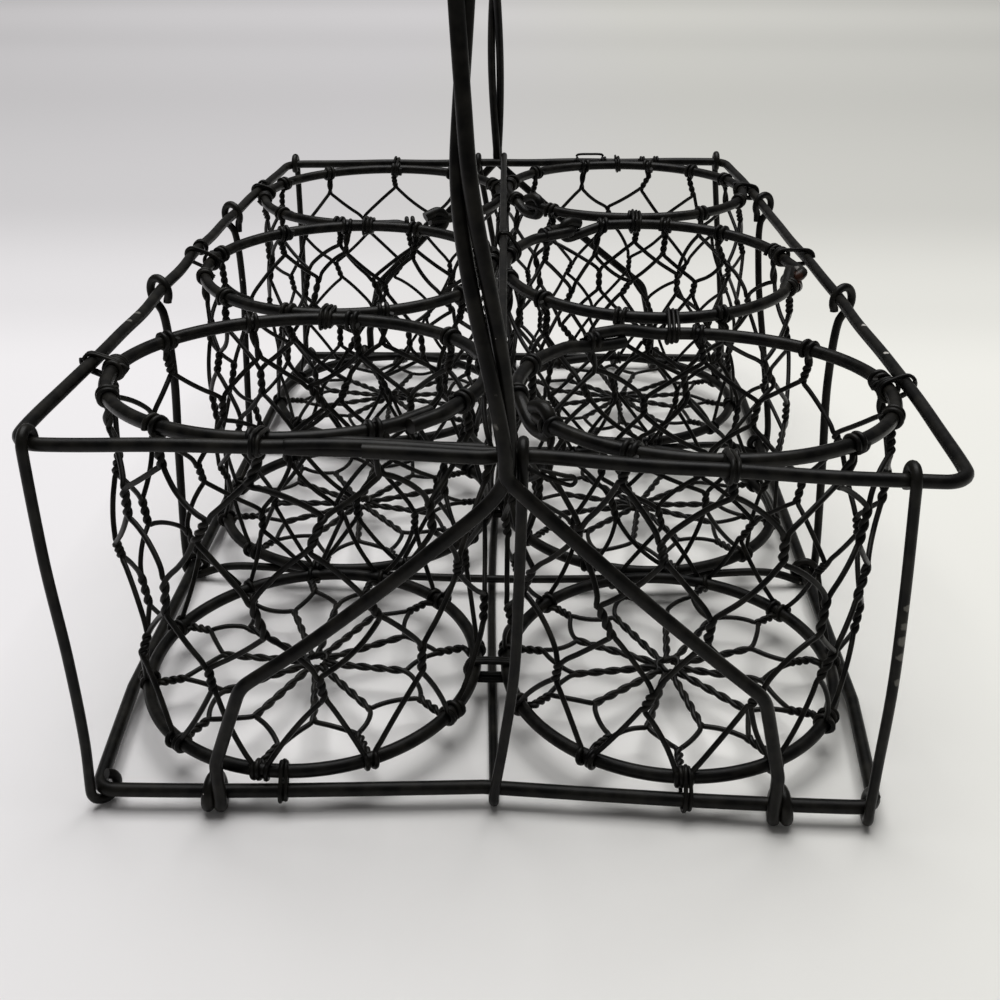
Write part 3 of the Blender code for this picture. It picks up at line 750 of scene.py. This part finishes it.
# the handle: two wires twisted over the arch and splayed into four legs
handle = {
    "height": 0.2900, "turns": 4, "slowEnds": 0.13, "archRound": 0.9,
    "leanFront": -0.0022, "leanRear": -0.0070, "leanOver": 0.75,
    "eyeStart": -45, "footRise": 3, "kneeHeight": 0.0330, "kneeBend": 2.5, "aside": 0.9,
    # side, foot's place, wires out from the bar, the knee's inset, then sag and drop
    "legs": (
        ("front", 0.0695, 2, 0.0050, 0.0008, 0),
        ("rear", -0.0645, 2, 0.0050, 0.0008, 0),
        ("front", -0.0627, 1, 0.0078, 0.0024, 0.0030),
        ("rear", 0.0645, 1, 0.0050, 0.0008, 0),
    ),
    "scuffs": ((0.0030, 0.0120, 0.0016), (0.0040, 0.0190, 0.0012), (0.0035, 0.0300, 0.0016)),
    "scuffY": -0.1585,
}


def legPath(side, footX, depth, inset, sag, drop):
    out = outOf[side]
    bottom = bottomBar(side, footX)
    first = handleFeet[side]
    sign = 1 if footX > 0 else -1
    pitch = right * sign * curl
    points = arc(bottom + pitch, out, up, footEye, handle["eyeStart"], 360, 26, -pitch)
    plane = bottom[1] + out[1] * footEye
    foot = vec(footX, plane, bottomZ + handle["footRise"] * footEye)
    knee = vec(footX - sign * inset, plane, bottomZ + handle["kneeHeight"])
    beside = first + sign * wires["frame"] * handle["aside"]
    outside = topBar(side, first)[1] + out[1] * depth * curl
    start = vec(beside, outside, topZ - wires["frame"] - drop)
    slope = []
    for t in (0.25, 0.5, 0.75):
        point = mix(knee, start, t) - up * sag * 4 * t * (1 - t)
        point[1] = mix(knee[1], start[1], min(1.0, 2 * t))
        slope.append(point)
    bends = [points[-1], foot, knee] + slope + [start]
    return points[:-1] + rounded(bends, handle["kneeBend"] * wires["frame"])


def handleLine(count):
    pair = curl + curl / 2
    startY = topBar("front", handleFeet["front"])[1] - pair
    endY = topBar("rear", handleFeet["rear"])[1] + pair
    rise = handle["height"] - topZ - frameRadius * 2 - wires["fit"] / 2
    line = []
    for i in range(count + 1):
        angle = pi * i / count
        across = copysign(abs(cos(angle)) ** handle["archRound"], cos(angle))
        y = mix(startY, endY, (1 - across) / 2)
        z = topZ + rise * sin(angle) ** handle["archRound"]
        foot = handleFeet["front" if i < count / 2 else "rear"]
        leant = mix(handle["leanFront"], handle["leanRear"], i / count)
        lean = min(1.0, (z - topZ) / (handle["leanOver"] * layout["frameHeight"]))
        line.append(vec(mix(foot, leant, lean * lean * (3 - 2 * lean)), y, z))
    return line


def handlePaths():
    count = 180
    line = handleLine(count)
    lengths = lengthsAlong(line)
    outer, inner = [], []
    for i in range(count + 1):
        tangent = unit(line[min(i + 1, count)] - line[max(i - 1, 0)])
        normal = unit(np.cross(right, tangent))
        share = lengths[i] / lengths[-1]
        share -= handle["slowEnds"] * sin(turn * share) / turn
        angle = pi / 2 + turn * handle["turns"] * share
        offset = curl / 2 * (cos(angle) * right + sin(angle) * normal)
        outer.append(line[i] + offset)
        inner.append(line[i] - offset)
    rightFront, rightRear, leftFront, leftRear = [legPath(*leg) for leg in handle["legs"]]
    return rightFront + outer + rightRear[::-1], leftFront + inner + leftRear[::-1]


handleBlack = blackWire("handleBlack", 0.26, 0.755, [
    (vec(x, handle["scuffY"], topZ + z), size, "scuff", False) for x, z, size in handle["scuffs"]
])
for path, side in zip(handlePaths(), ("right", "left")):
    wirePiece("handle", [path], handleBlack, "handle_strand_" + side)
print("handle done")

# the cups' top rings: each joint gives its angle, its form and how it is rolled
hook = {
    "bend": 0.0027, "tail": 0.0042, "dip": 0.0011, "ease": 0.0150, "lap": 0.0046, "pinch": 0.9,
    "clawLift": 0.0004, "clawStart": (-0.0030, 0.0040), "clawRun": 0.0050, "clawGrow": 0.0005,
    "clawTurn": 100, "clawDip": 0.0014,
}
joints = {
    "front_left": [(315, "lap", 85)],
    "front_right": [(117, "lap", 200), (211, "claw", 0)],
    "middle_left": [(20.5, "hooks", 90)],
    "middle_right": [(124, "hooks", 0), (347.7, "hooks", 150)],
    "rear_left": [(301, "claw", 0)],
    "rear_right": [(220, "claw", 0)],
}


def ringAxes(name, angle):
    outward = ringPoint(name, angle) - ringPoint(name, angle, 0.0)
    outward[2] = 0
    outward = unit(outward)
    return outward, np.cross(up, outward)


def ringEnds(name, angle, form, roll):
    # the wire's start after the joint and its end before it
    outward, along = ringAxes(name, angle)
    roll = radians(roll)
    sideA = cos(roll) * up + sin(roll) * outward
    sideB = np.cross(along, sideA)
    here = ringPoint(name, angle)

    def beside(across, ahead):
        return here + sideA * across + along * ahead

    r, tail = hook["bend"], along * hook["tail"]
    if form == "lap":
        reach, pinched = hook["lap"], hook["pinch"] * ringRadius
        start = [beside(ringRadius, -reach), beside(ringRadius, 0), beside(pinched, reach)]
        end = [beside(-pinched, -reach), beside(-ringRadius, 0), beside(-ringRadius, reach)]
    elif form == "claw":
        start = [beside(hook["clawLift"], ahead) for ahead in hook["clawStart"]]
        low, r = hook["clawLift"] - wires["ring"], r + hook["clawGrow"]
        end = [beside(low, -hook["clawRun"])]
        end += arc(beside(low + r, 0), along, sideA, r, -90, hook["clawTurn"], 14)
        end.append(end[-1] - tail - sideA * hook["clawDip"])
    else:
        start = arc(here + along * r / 2, -along, sideB, r, 90, -90, 14)
        start.insert(0, start[0] + tail - sideB * hook["dip"])
        end = arc(here - along * r / 2, along, sideA, r, -90, 90, 14)
        end.append(end[-1] - tail - sideA * hook["dip"])
    return start, end


def ringPaths(name):
    made = [(radians(a), ringEnds(name, radians(a), form, roll))
            for a, form, roll in joints[name]]
    ease = hook["ease"] / ringLine
    paths = []
    for i, (angle, (start, _)) in enumerate(made):
        after, (_, end) = made[(i + 1) % len(made)]
        if after <= angle:
            after += turn
        steps = int(96 * (after - angle) / turn)
        body = [
            ringPoint(name, mix(angle + ease, after - ease, i / steps)) for i in range(steps + 1)
        ]
        paths.append(start + body + end)
    return paths


rustSpots = {
    "middle_right": [
        (344.5, 0.0042, "rust", False, 0), (346.5, 0.0030, "rust", False, -0.002),
        (351.5, 0.0024, "steel", True, 0.0012),
    ],
    "rear_left": [(315, 0.0022, "rust", False, 0)],
    "front_left": [(200, 0.0016, "worn", False, 0)],
}
for name in cups:
    ringBlack = blackWire(nameOf("ringBlack_" + name), 0.24, 0.770, [
        (ringPoint(name, radians(angle)) + up * high, radius, tone, metallic)
        for angle, radius, tone, metallic, high in rustSpots.get(name, [])
    ])
    circle = [basePoint(name, turn * i / 90) for i in range(90)]
    wirePiece("ring", ringPaths(name), ringBlack, "cup_ring_" + name)
    wirePiece("baseRing", [circle], bottomBlack, "cup_base_ring_" + name, closed=True)
print("rings done")

# the netting: twisted pairs hang from each top ring and part at every joint; angles of the
# wraps in degrees, joints at shares of the wall's height or of the base ring's radius
meshes = 11
netting = {
    "pairOffset": 0.00054, "halfTwists": 3, "spokeHalfTwists": 5, "spokeOffset": 0.8,
    "wrap": 0.00210, "pitch": 0.00118, "longWrap": (400, 460), "shortWrap": (250, 320),
    "wrapFrom": 0.40, "wrapTail": (0.0006, 0.0018),
    "baseStart": 70, "baseLong": 590, "baseShort": 230, "baseFrom": 0.5, "baseLoose": 0.7,
    "firstTwist": (0.045, 0.112),
    "rows": ((1, 0.232, 0.318), (0, 0.468, 0.552), (1, 0.698, 0.782)),
    "floorTwist": (0.925, 0.78), "spokeStart": 0.60,
    "slack": (0.0024, 0.0016, 0.0020), "floorSlack": (0.6, 0.5, 0.4),
    "topSlack": 0.35, "freeBelow": 0.15, "bow": 0.0013, "bowOut": 0.6, "belly": 0.0014,
    "hub": 0.0034, "hubTail": (-0.0020, -0.0010, 0.0006), "hubTurns": 1.4, "hubWave": 0.15,
    "hubRise": (0.0004, 0.0008),
}
netFloorZ = baseRingZ - ringRadius / 4


def gapOf(a, b):
    return (a - b + pi) % turn - pi


def netAngles(name):
    # angles of the columns at the top ring, and at the base ring below them
    tops = [radians(a) for a in cups[name]["tops"]]
    spokes = [radians(a) for a in cups[name]["spokes"]]
    bases = [(a + b) / 2 for a, b in zip(spokes, spokes[1:] + [spokes[0] + turn])]

    def lowGap(k, n):
        return gapOf(bases[(k + n) % meshes], tops[k])

    best = min(range(-2, 3), key=lambda n: sum(abs(lowGap(k, n)) for k in range(meshes)))
    return tops, [top + lowGap(k, best) for k, top in enumerate(tops)]


def netPaths(name):
    dice = random.Random("net " + name)
    tops, lows = netAngles(name)
    slacks = {}

    def column(k, half, t):
        # its angle, outwards and along
        def whole(j):
            return mix(tops[j % meshes], lows[j % meshes], t) + turn * (j // meshes)

        angle = whole(k) if half == 0 else (whole(k) + whole(k + 1)) / 2
        return (angle, *ringAxes(name, angle))

    def slack(*joint):
        # each joint of the netting sits a little off its even place
        if joint not in slacks:
            slacks[joint] = [dice.uniform(-1, 1) * most for most in netting["slack"]]
        return slacks[joint]

    def wallPoint(k, half, t):
        angle, outward, along = column(k, half, t)
        sideways, bulge, lower = slack("wall", k % meshes, t)
        free = min(1.0, t / netting["freeBelow"])
        belly = netting["belly"] * sin(pi * t)
        point = mix(ringPoint(name, angle), basePoint(name, angle), t)
        point = point + along * sideways * mix(netting["topSlack"], 1, free)
        return point + outward * (bulge * free + belly) + up * lower * free

    def floorPoint(k, half, radius):
        angle, outward, along = column(k, half, 1.0)
        sideways, bulge, lower = slack("floor", k % meshes, radius)
        a, b, c = netting["floorSlack"]
        point = basePoint(name, angle, ringLine * radius, netFloorZ)
        return point + along * sideways * a + outward * lower * b + up * abs(bulge) * c

    def twist(start, end, normal, side, halfTurns, tight=1.0):
        # one strand of a twisted pair, entering on the given side
        axis = unit(end - start)
        across = unit(np.cross(normal, axis))
        offset = netting["pairOffset"] * side * tight
        return coil(
            start, across, np.cross(axis, across), end - start, halfTurns * 7,
            lambda t: (pi * halfTurns * t, offset, t),
        )

    def wrapTop(k, side):
        # from the cut tail, round the ring, to just under it
        angle, outward, along = column(k, 0, 0.0)
        longer = (k + (side > 0)) % 2 == 0
        span = radians(dice.uniform(*netting["longWrap" if longer else "shortWrap"]))
        points = coil(
            ringPoint(name, angle), outward, up, along * side * netting["pitch"], 26,
            lambda t: (side * span * (1 - t) - pi / 2, netting["wrap"],
                       (1 - t) * span / turn + netting["wrapFrom"]),
        )
        leave = unit(points[0] - points[1])
        return [points[0] + leave * dice.uniform(*netting["wrapTail"])] + points

    def wrapBase(k, side):
        # over the base ring, round it and in towards the floor
        angle, outward, along = column(k, 0, 1.0)
        longer = (k + (side > 0)) % 2 == 0
        start = radians(netting["baseStart"])
        span = radians(netting["baseLong" if longer else "baseShort"])
        loose = dice.uniform(0.0, netting["baseLoose"]) ** 2

        def spot(t):
            # looser where it comes over the ring
            phi = start - span * t
            swell = 1 + loose * exp(-((phi - 0.3) / 0.9) ** 2)
            return phi, netting["wrap"] * swell, (1 - t) * span / turn + netting["baseFrom"]

        pitch = along * side * netting["pitch"]
        return coil(basePoint(name, angle), outward, up, pitch, 34 if longer else 15, spot)

    def single(start, end, normal):
        # a lone wire between two joints, bowed as hand-pulled netting is
        across = np.cross(unit(end - start), normal)
        bow = across * dice.uniform(-1, 1) * netting["bow"]
        bow = bow + normal * dice.uniform(-1, 1) * netting["bow"] * netting["bowOut"]
        return [mix(start, end, t) + bow * 4 * t * (1 - t) for t in (0.14, 0.36, 0.64, 0.86)]

    def strand(k, side):
        # side -1 starts left of its pair and works round to the right, +1 the other way
        path = wrapTop(k, side)
        outward = column(k, 0, 0.0)[1]
        a, b = [wallPoint(k, 0, t) for t in netting["firstTwist"]]
        halfTwists = netting["halfTwists"]
        path += twist(a, b, outward, side, 1 if k % 3 == 0 else halfTwists)
        for half, first, second in netting["rows"]:
            k += (side < 0) - half
            outward = column(k, half, first)[1]
            a, b = wallPoint(k, half, first), wallPoint(k, half, second)
            path += single(path[-1], a, outward) + twist(a, b, outward, side, halfTwists)
        k += side < 0
        wrap = wrapBase(k, side)
        path += single(path[-1], wrap[0], outward) + wrap
        a, b = [floorPoint(k, 0, radius) for radius in netting["floorTwist"]]
        path += twist(a, b, -up, side, halfTwists)
        k += (side < 0) - 1
        angle, outward, along = column(k, 1, 1.0)
        a = floorPoint(k, 1, netting["spokeStart"])
        b = basePoint(name, angle, netting["hub"], netFloorZ)
        path += single(path[-1], a, -up)
        path += twist(a, b, -up, side, netting["spokeHalfTwists"], netting["spokeOffset"])
        aside, out, rise = netting["hubTail"]
        path.append(b + along * side * aside + outward * out + up * side * rise)
        return path

    paths = [strand(k, side) for k in range(meshes) for side in (-1, 1)]
    hubLoop = []
    middle, swing = netting["hubRise"]
    for i in range(50):
        angle = turn * netting["hubTurns"] * i / 49
        reach = netting["hub"] * (1 + netting["hubWave"] * (sin(3 * angle) - 1))
        point = basePoint(name, angle, reach, netFloorZ)
        hubLoop.append(point + up * (swing * sin(angle * 2) + middle))
    return paths + [hubLoop]


netBlack = blackWire("netBlack", 0.30, 0.775, bump=0.35)
for name in cups:
    nodes = "cup_wall_net_" + name, "cup_floor_net_" + name
    wirePiece("net", netPaths(name), netBlack, *nodes, name=nameOf("cup_net_" + name))
print("netting done")

# soft binding wires round the places where rings and bars meet
ties = {
    "pitch": 0.00108, "spread": 0.30, "over": 1.3, "tail": 0.0020, "tailDrop": 0.0008,
    "tailSide": 0.0012, "knotOut": 1.6, "knotBack": 0.0016, "endTurns": 3.0, "ringTurns": 5.0,
    "floorTurns": 5.5, "floorAngle": 0.06, "floorEnds": ((-0.0022, 0.0015), (0.0016, 0.0022)),
}


def windTie(first, second, axis, secondRadius, turns, phase):
    # wound round a ring and a wire beside it, out along them and back over itself
    axis = unit(axis)
    gap = second - first
    gap = gap - gap.dot(axis) * axis
    apart = np.linalg.norm(gap)
    u = gap / apart
    v = np.cross(axis, u)
    reachA = ringRadius + tieRadius
    reachB = secondRadius + tieRadius
    lean = asin((reachA - reachB) / apart)
    once = []
    for centre, reach, low, high in (
        (second, reachB, -pi / 2 + lean, pi / 2 - lean),
        (first, reachA, pi / 2 - lean, 1.5 * pi + lean),
    ):
        flat = centre - centre.dot(axis) * axis
        for k in range(9):
            phi = mix(low, high, k / 8)
            spoke = cos(phi) * u + sin(phi) * v
            once.append((flat + reach * spoke, spoke))
    middle = ((first + second) / 2).dot(axis)
    total = int(round(turns * len(once)))
    shift = int(round(phase * len(once)))
    width = ties["pitch"] * turns * ties["spread"]
    path = []
    for i in range(total + 1):
        t = i / total
        level = middle + width * (1 - abs(4 * t - 2))
        point, spoke = once[(i + shift) % len(once)]
        over = tieRadius * ties["over"] * max(0.0, 2 * t - 1)
        path.append(point + axis * level + spoke * over)
    return path


def wrapRing(centre, axis, outward, radius, turns, begin):
    # a few turns round one wire only
    axis = unit(axis)
    u = unit(outward - outward.dot(axis) * axis)
    v = np.cross(axis, u)
    return coil(centre, u, v, axis * ties["pitch"] * turns, int(16 * turns), lambda t: (
        begin + turn * turns * t, radius, t - 0.5))


tieBlack = blackWire("tieBlack", 0.34, 0.775, bump=0.35)


def tiePiece(part, paths):
    wirePiece("tie", paths, tieBlack, "tie_" + part)


# ring to side bar: a long loop over both, then a knot wound round the ring; the angle
# on the ring, the turns of the loop and those of the knot
sideTies = {
    "front_left": (180, 2.0, 3.5),
    "middle_left": (177, 2.5, 2.5),
    "rear_left": (180, 2.5, 2.0),
    "front_right": (0, 1.5, 2.5),
    "middle_right": (13, 3.0, 2.0),
    "rear_right": (0, 3.5, 1.5),
}
for name, (angle, loops, wraps) in sideTies.items():
    angle = radians(angle)
    ring = ringPoint(name, angle)
    tangent = vec(-sin(angle), cos(angle), 0)
    axis = tangent * (1 if tangent[1] > 0 else -1) + back
    bar = topBar(name.split("_")[1], ring[1])
    loop = windTie(ring, bar, axis, frameRadius, loops, 0.25)
    radius = ringRadius + tieRadius * ties["knotOut"]
    knot = wrapRing(
        ring + back * ties["knotBack"], tangent, unit(bar - ring), radius, wraps, 1.0)
    tail = knot[-1] + unit(ring - bar) * ties["tail"] - up * ties["tailDrop"]
    tiePiece("side_" + name, [loop, knot + [tail]])

for end, angle in (("front", 1.5 * pi), ("rear", 0.5 * pi)):
    for side in ("left", "right"):
        name = end + "_" + side
        ring, low = ringPoint(name, angle), basePoint(name, angle)
        high = windTie(ring, topBar(end, ring[0]), right, frameRadius, ties["endTurns"], 0.5)
        under = windTie(low, bottomBar(end, low[0]), right, ringRadius, ties["endTurns"], 0.5)
        tiePiece("end_" + name, [high])
        tiePiece("base_" + name, [under])
for side in ("left", "right"):
    for front, rear in (("front_", "middle_"), ("middle_", "rear_")):
        first, second = ringPoint(front + side, pi / 2), ringPoint(rear + side, -pi / 2)
        crossed = windTie(first, second, right, ringRadius, ties["ringTurns"], 0.0)
        crossed.append(crossed[-1] + up * ties["tail"] + right * ties["tailSide"])
        tiePiece("rings_" + front + side, [crossed])
for row in ("front", "middle", "rear"):
    first = basePoint(row + "_left", -ties["floorAngle"])
    second = basePoint(row + "_right", pi + ties["floorAngle"])
    wound = windTie(first, second, back, ringRadius, ties["floorTurns"], 0.1)
    start, end = [
        point + back * along + up * rise
        for point, (along, rise) in zip((wound[0], wound[-1]), ties["floorEnds"])
    ]
    tiePiece("floor_" + row, [[start] + wound + [end]])

# round the centre wire, and between the rear rings: angles on the rings and turns
centreTies = {"middle": 163, "middleTurns": 3.0, "rear": (15, 166), "rearTurns": 2.5}
ring = ringPoint("middle_right", radians(centreTies["middle"]))
wire = vec(centreWire["middleX"], ring[1], centreZ)
wound = windTie(ring, wire, back, supportRadius, centreTies["middleTurns"], 0.2)
tiePiece("centre_middle", [wound])
first, second = [
    ringPoint(name, radians(angle))
    for name, angle in zip(("rear_left", "rear_right"), centreTies["rear"])
]
wound = windTie(first, second, back, ringRadius, centreTies["rearTurns"], 0.3)
wirePiece("tie", [wound], tieBlack, name="tieCentreRear")

# odd turns of tie wire on the bars, with bar, place and turns, and a staple behind, with
# places and heights
odd = {
    "turns": (
        ("left", 0.1060, 2.0), ("left", 0.0130, 2.0), ("rear", 0.0283, 1.5),
        ("rear", 0.0393, 2.0), ("rear", 0.0560, 2.5), ("rear", 0.0615, 2.0),
    ),
    "staple": ((0.0280, 0.8), (0.0284, 1.0), (0.0340, 1.1), (0.0390, 1.0), (0.0394, 0.8)),
    "height": 1.6,
}
paths = []
for side, value, turns in odd["turns"]:
    axis = right if side == "rear" else back
    paths.append(wrapRing(topBar(side, value), axis, up, frameRadius + tieRadius, turns, 0.8))
above = up * (frameRadius + odd["height"] * wires["tie"])
paths.append([topBar("rear", x) + above * high for x, high in odd["staple"]])
wirePiece("tie", paths, tieBlack, name="tieOddTurns")

# a hairpin of tie wire beside the handle's foot
hairpin = {
    "start": 0.0098, "end": 0.0192, "front": 0.0030, "startDrop": 0.0010, "drop": 0.0034,
    "sag": 0.0008, "loop": 0.0011, "opening": 110, "rise": 0.0004,
}
pinStart, pinEnd = [
    topBar("front", hairpin[end]) - back * hairpin["front"] - up * hairpin[drop]
    for end, drop in (("start", "startDrop"), ("end", "drop"))
]
pin = [pinStart, mix(pinStart, pinEnd, 0.5) - up * hairpin["sag"]]
pin += arc(pinEnd, right, up, hairpin["loop"], -90, hairpin["opening"], 8)
pin.append(mix(pinStart, pinEnd, 0.35) + up * hairpin["rise"])
wirePiece("tie", [pin], tieBlack, name="tieHairpin")
print("binding wires done")

# floor, light and camera
stage = {
    "reach": 3.0,
    # the floor's greys along its depth: painted light and shade, not the paper's own tone
    "stops": (
        (-0.30, 0.74), (-0.15, 0.83), (-0.05, 0.81), (0.03, 0.82), (0.14, 0.82), (0.25, 0.72),
        (0.47, 0.565), (0.85, 0.545), (1.3, 0.64), (1.82, 0.86), (2.4, 0.98),
    ),
    "cream": 0.992, "roughness": 0.75, "tintReach": 0.16,
    "cool": (1.0, 0.978, 1.0, 1), "warm": (1.0, 0.992, 0.940, 1),
}


def paperMaterial():
    # painted light and shade in the floor's colour, set against the lamp: pale round the object,
    # painted shade behind it under the lamp, where the lamp alone would light it brightest, and
    # paler far off, where the lamp's light falls away; cool at the left, warm right
    material, tree, shader, where = newMaterial("paperPaintedLight")
    split = place(tree, "SeparateXYZ")
    feed(tree, where, split.inputs["Vector"])
    stops = stage["stops"]
    near, far = stops[0][0], stops[-1][0]
    ramp = place(tree, "ValToRGB")
    ramp.color_ramp.interpolation = "EASE"
    marks = ramp.color_ramp.elements
    for i, (y, grey) in enumerate(stops):
        share = (y - near) / (far - near)
        mark = marks[0] if i == 0 else marks[-1] if i == len(stops) - 1 else marks.new(share)
        mark.position = share
        mark.color = (grey, grey, grey * stage["cream"], 1)
    feed(tree, ranged(tree, split.outputs["Y"], near, far), ramp.inputs["Fac"])
    across = ranged(tree, split.outputs["X"], -stage["tintReach"], stage["tintReach"])
    sides = mixed(tree, across, stage["cool"], stage["warm"])
    feedAll(tree, shader, {
        "Base Color": mixed(tree, 1.0, ramp.outputs["Color"], sides, "MULTIPLY"),
        "Roughness": stage["roughness"],
    })
    return material


bpy.ops.mesh.primitive_plane_add(size=2 * stage["reach"], location=(0, 0, 0))
floor = bpy.context.object
floor.name = "paleFloor"
floor.data.materials.append(paperMaterial())

lights = {
    "worldStrength": 0.15, "worldColour": (1.0, 0.99, 0.985, 1),
    "topPower": 64.0, "topSize": 2.0, "topPlace": (-0.05, 0.50, 2.30),
}
world = bpy.data.worlds.new("softRoom")
bpy.context.scene.world = world
world.use_nodes = True
feedAll(world.node_tree, world.node_tree.nodes["Background"], {
    "Color": lights["worldColour"], "Strength": lights["worldStrength"],
})
bpy.ops.object.light_add(type="AREA", location=lights["topPlace"])
lamp = bpy.context.object
lamp.name = "topLight"
lamp.data.shape = "SQUARE"
lamp.data.size = lights["topSize"]
lamp.data.energy = lights["topPower"]
lamp.rotation_euler = (-Vector(lights["topPlace"])).to_track_quat("-Z", "Y").to_euler()

view = {
    "place": vec(0.01147, -0.38338, bottomZ + 0.199071) + move,
    "turn": (62.92, 0.0, 1.72),
    "lens": 44.27,
}
cameraData = bpy.data.cameras.new("photoView")
cameraData.lens = view["lens"]
cameraData.sensor_width = 36
cameraData.clip_start = 0.01
camera = bpy.data.objects.new("photoView", cameraData)
camera.location = view["place"]
camera.rotation_euler = [radians(v) for v in view["turn"]]
bpy.context.scene.collection.objects.link(camera)
bpy.context.scene.camera = camera
bpy.context.scene.view_settings.view_transform = "Standard"
print("stage done")
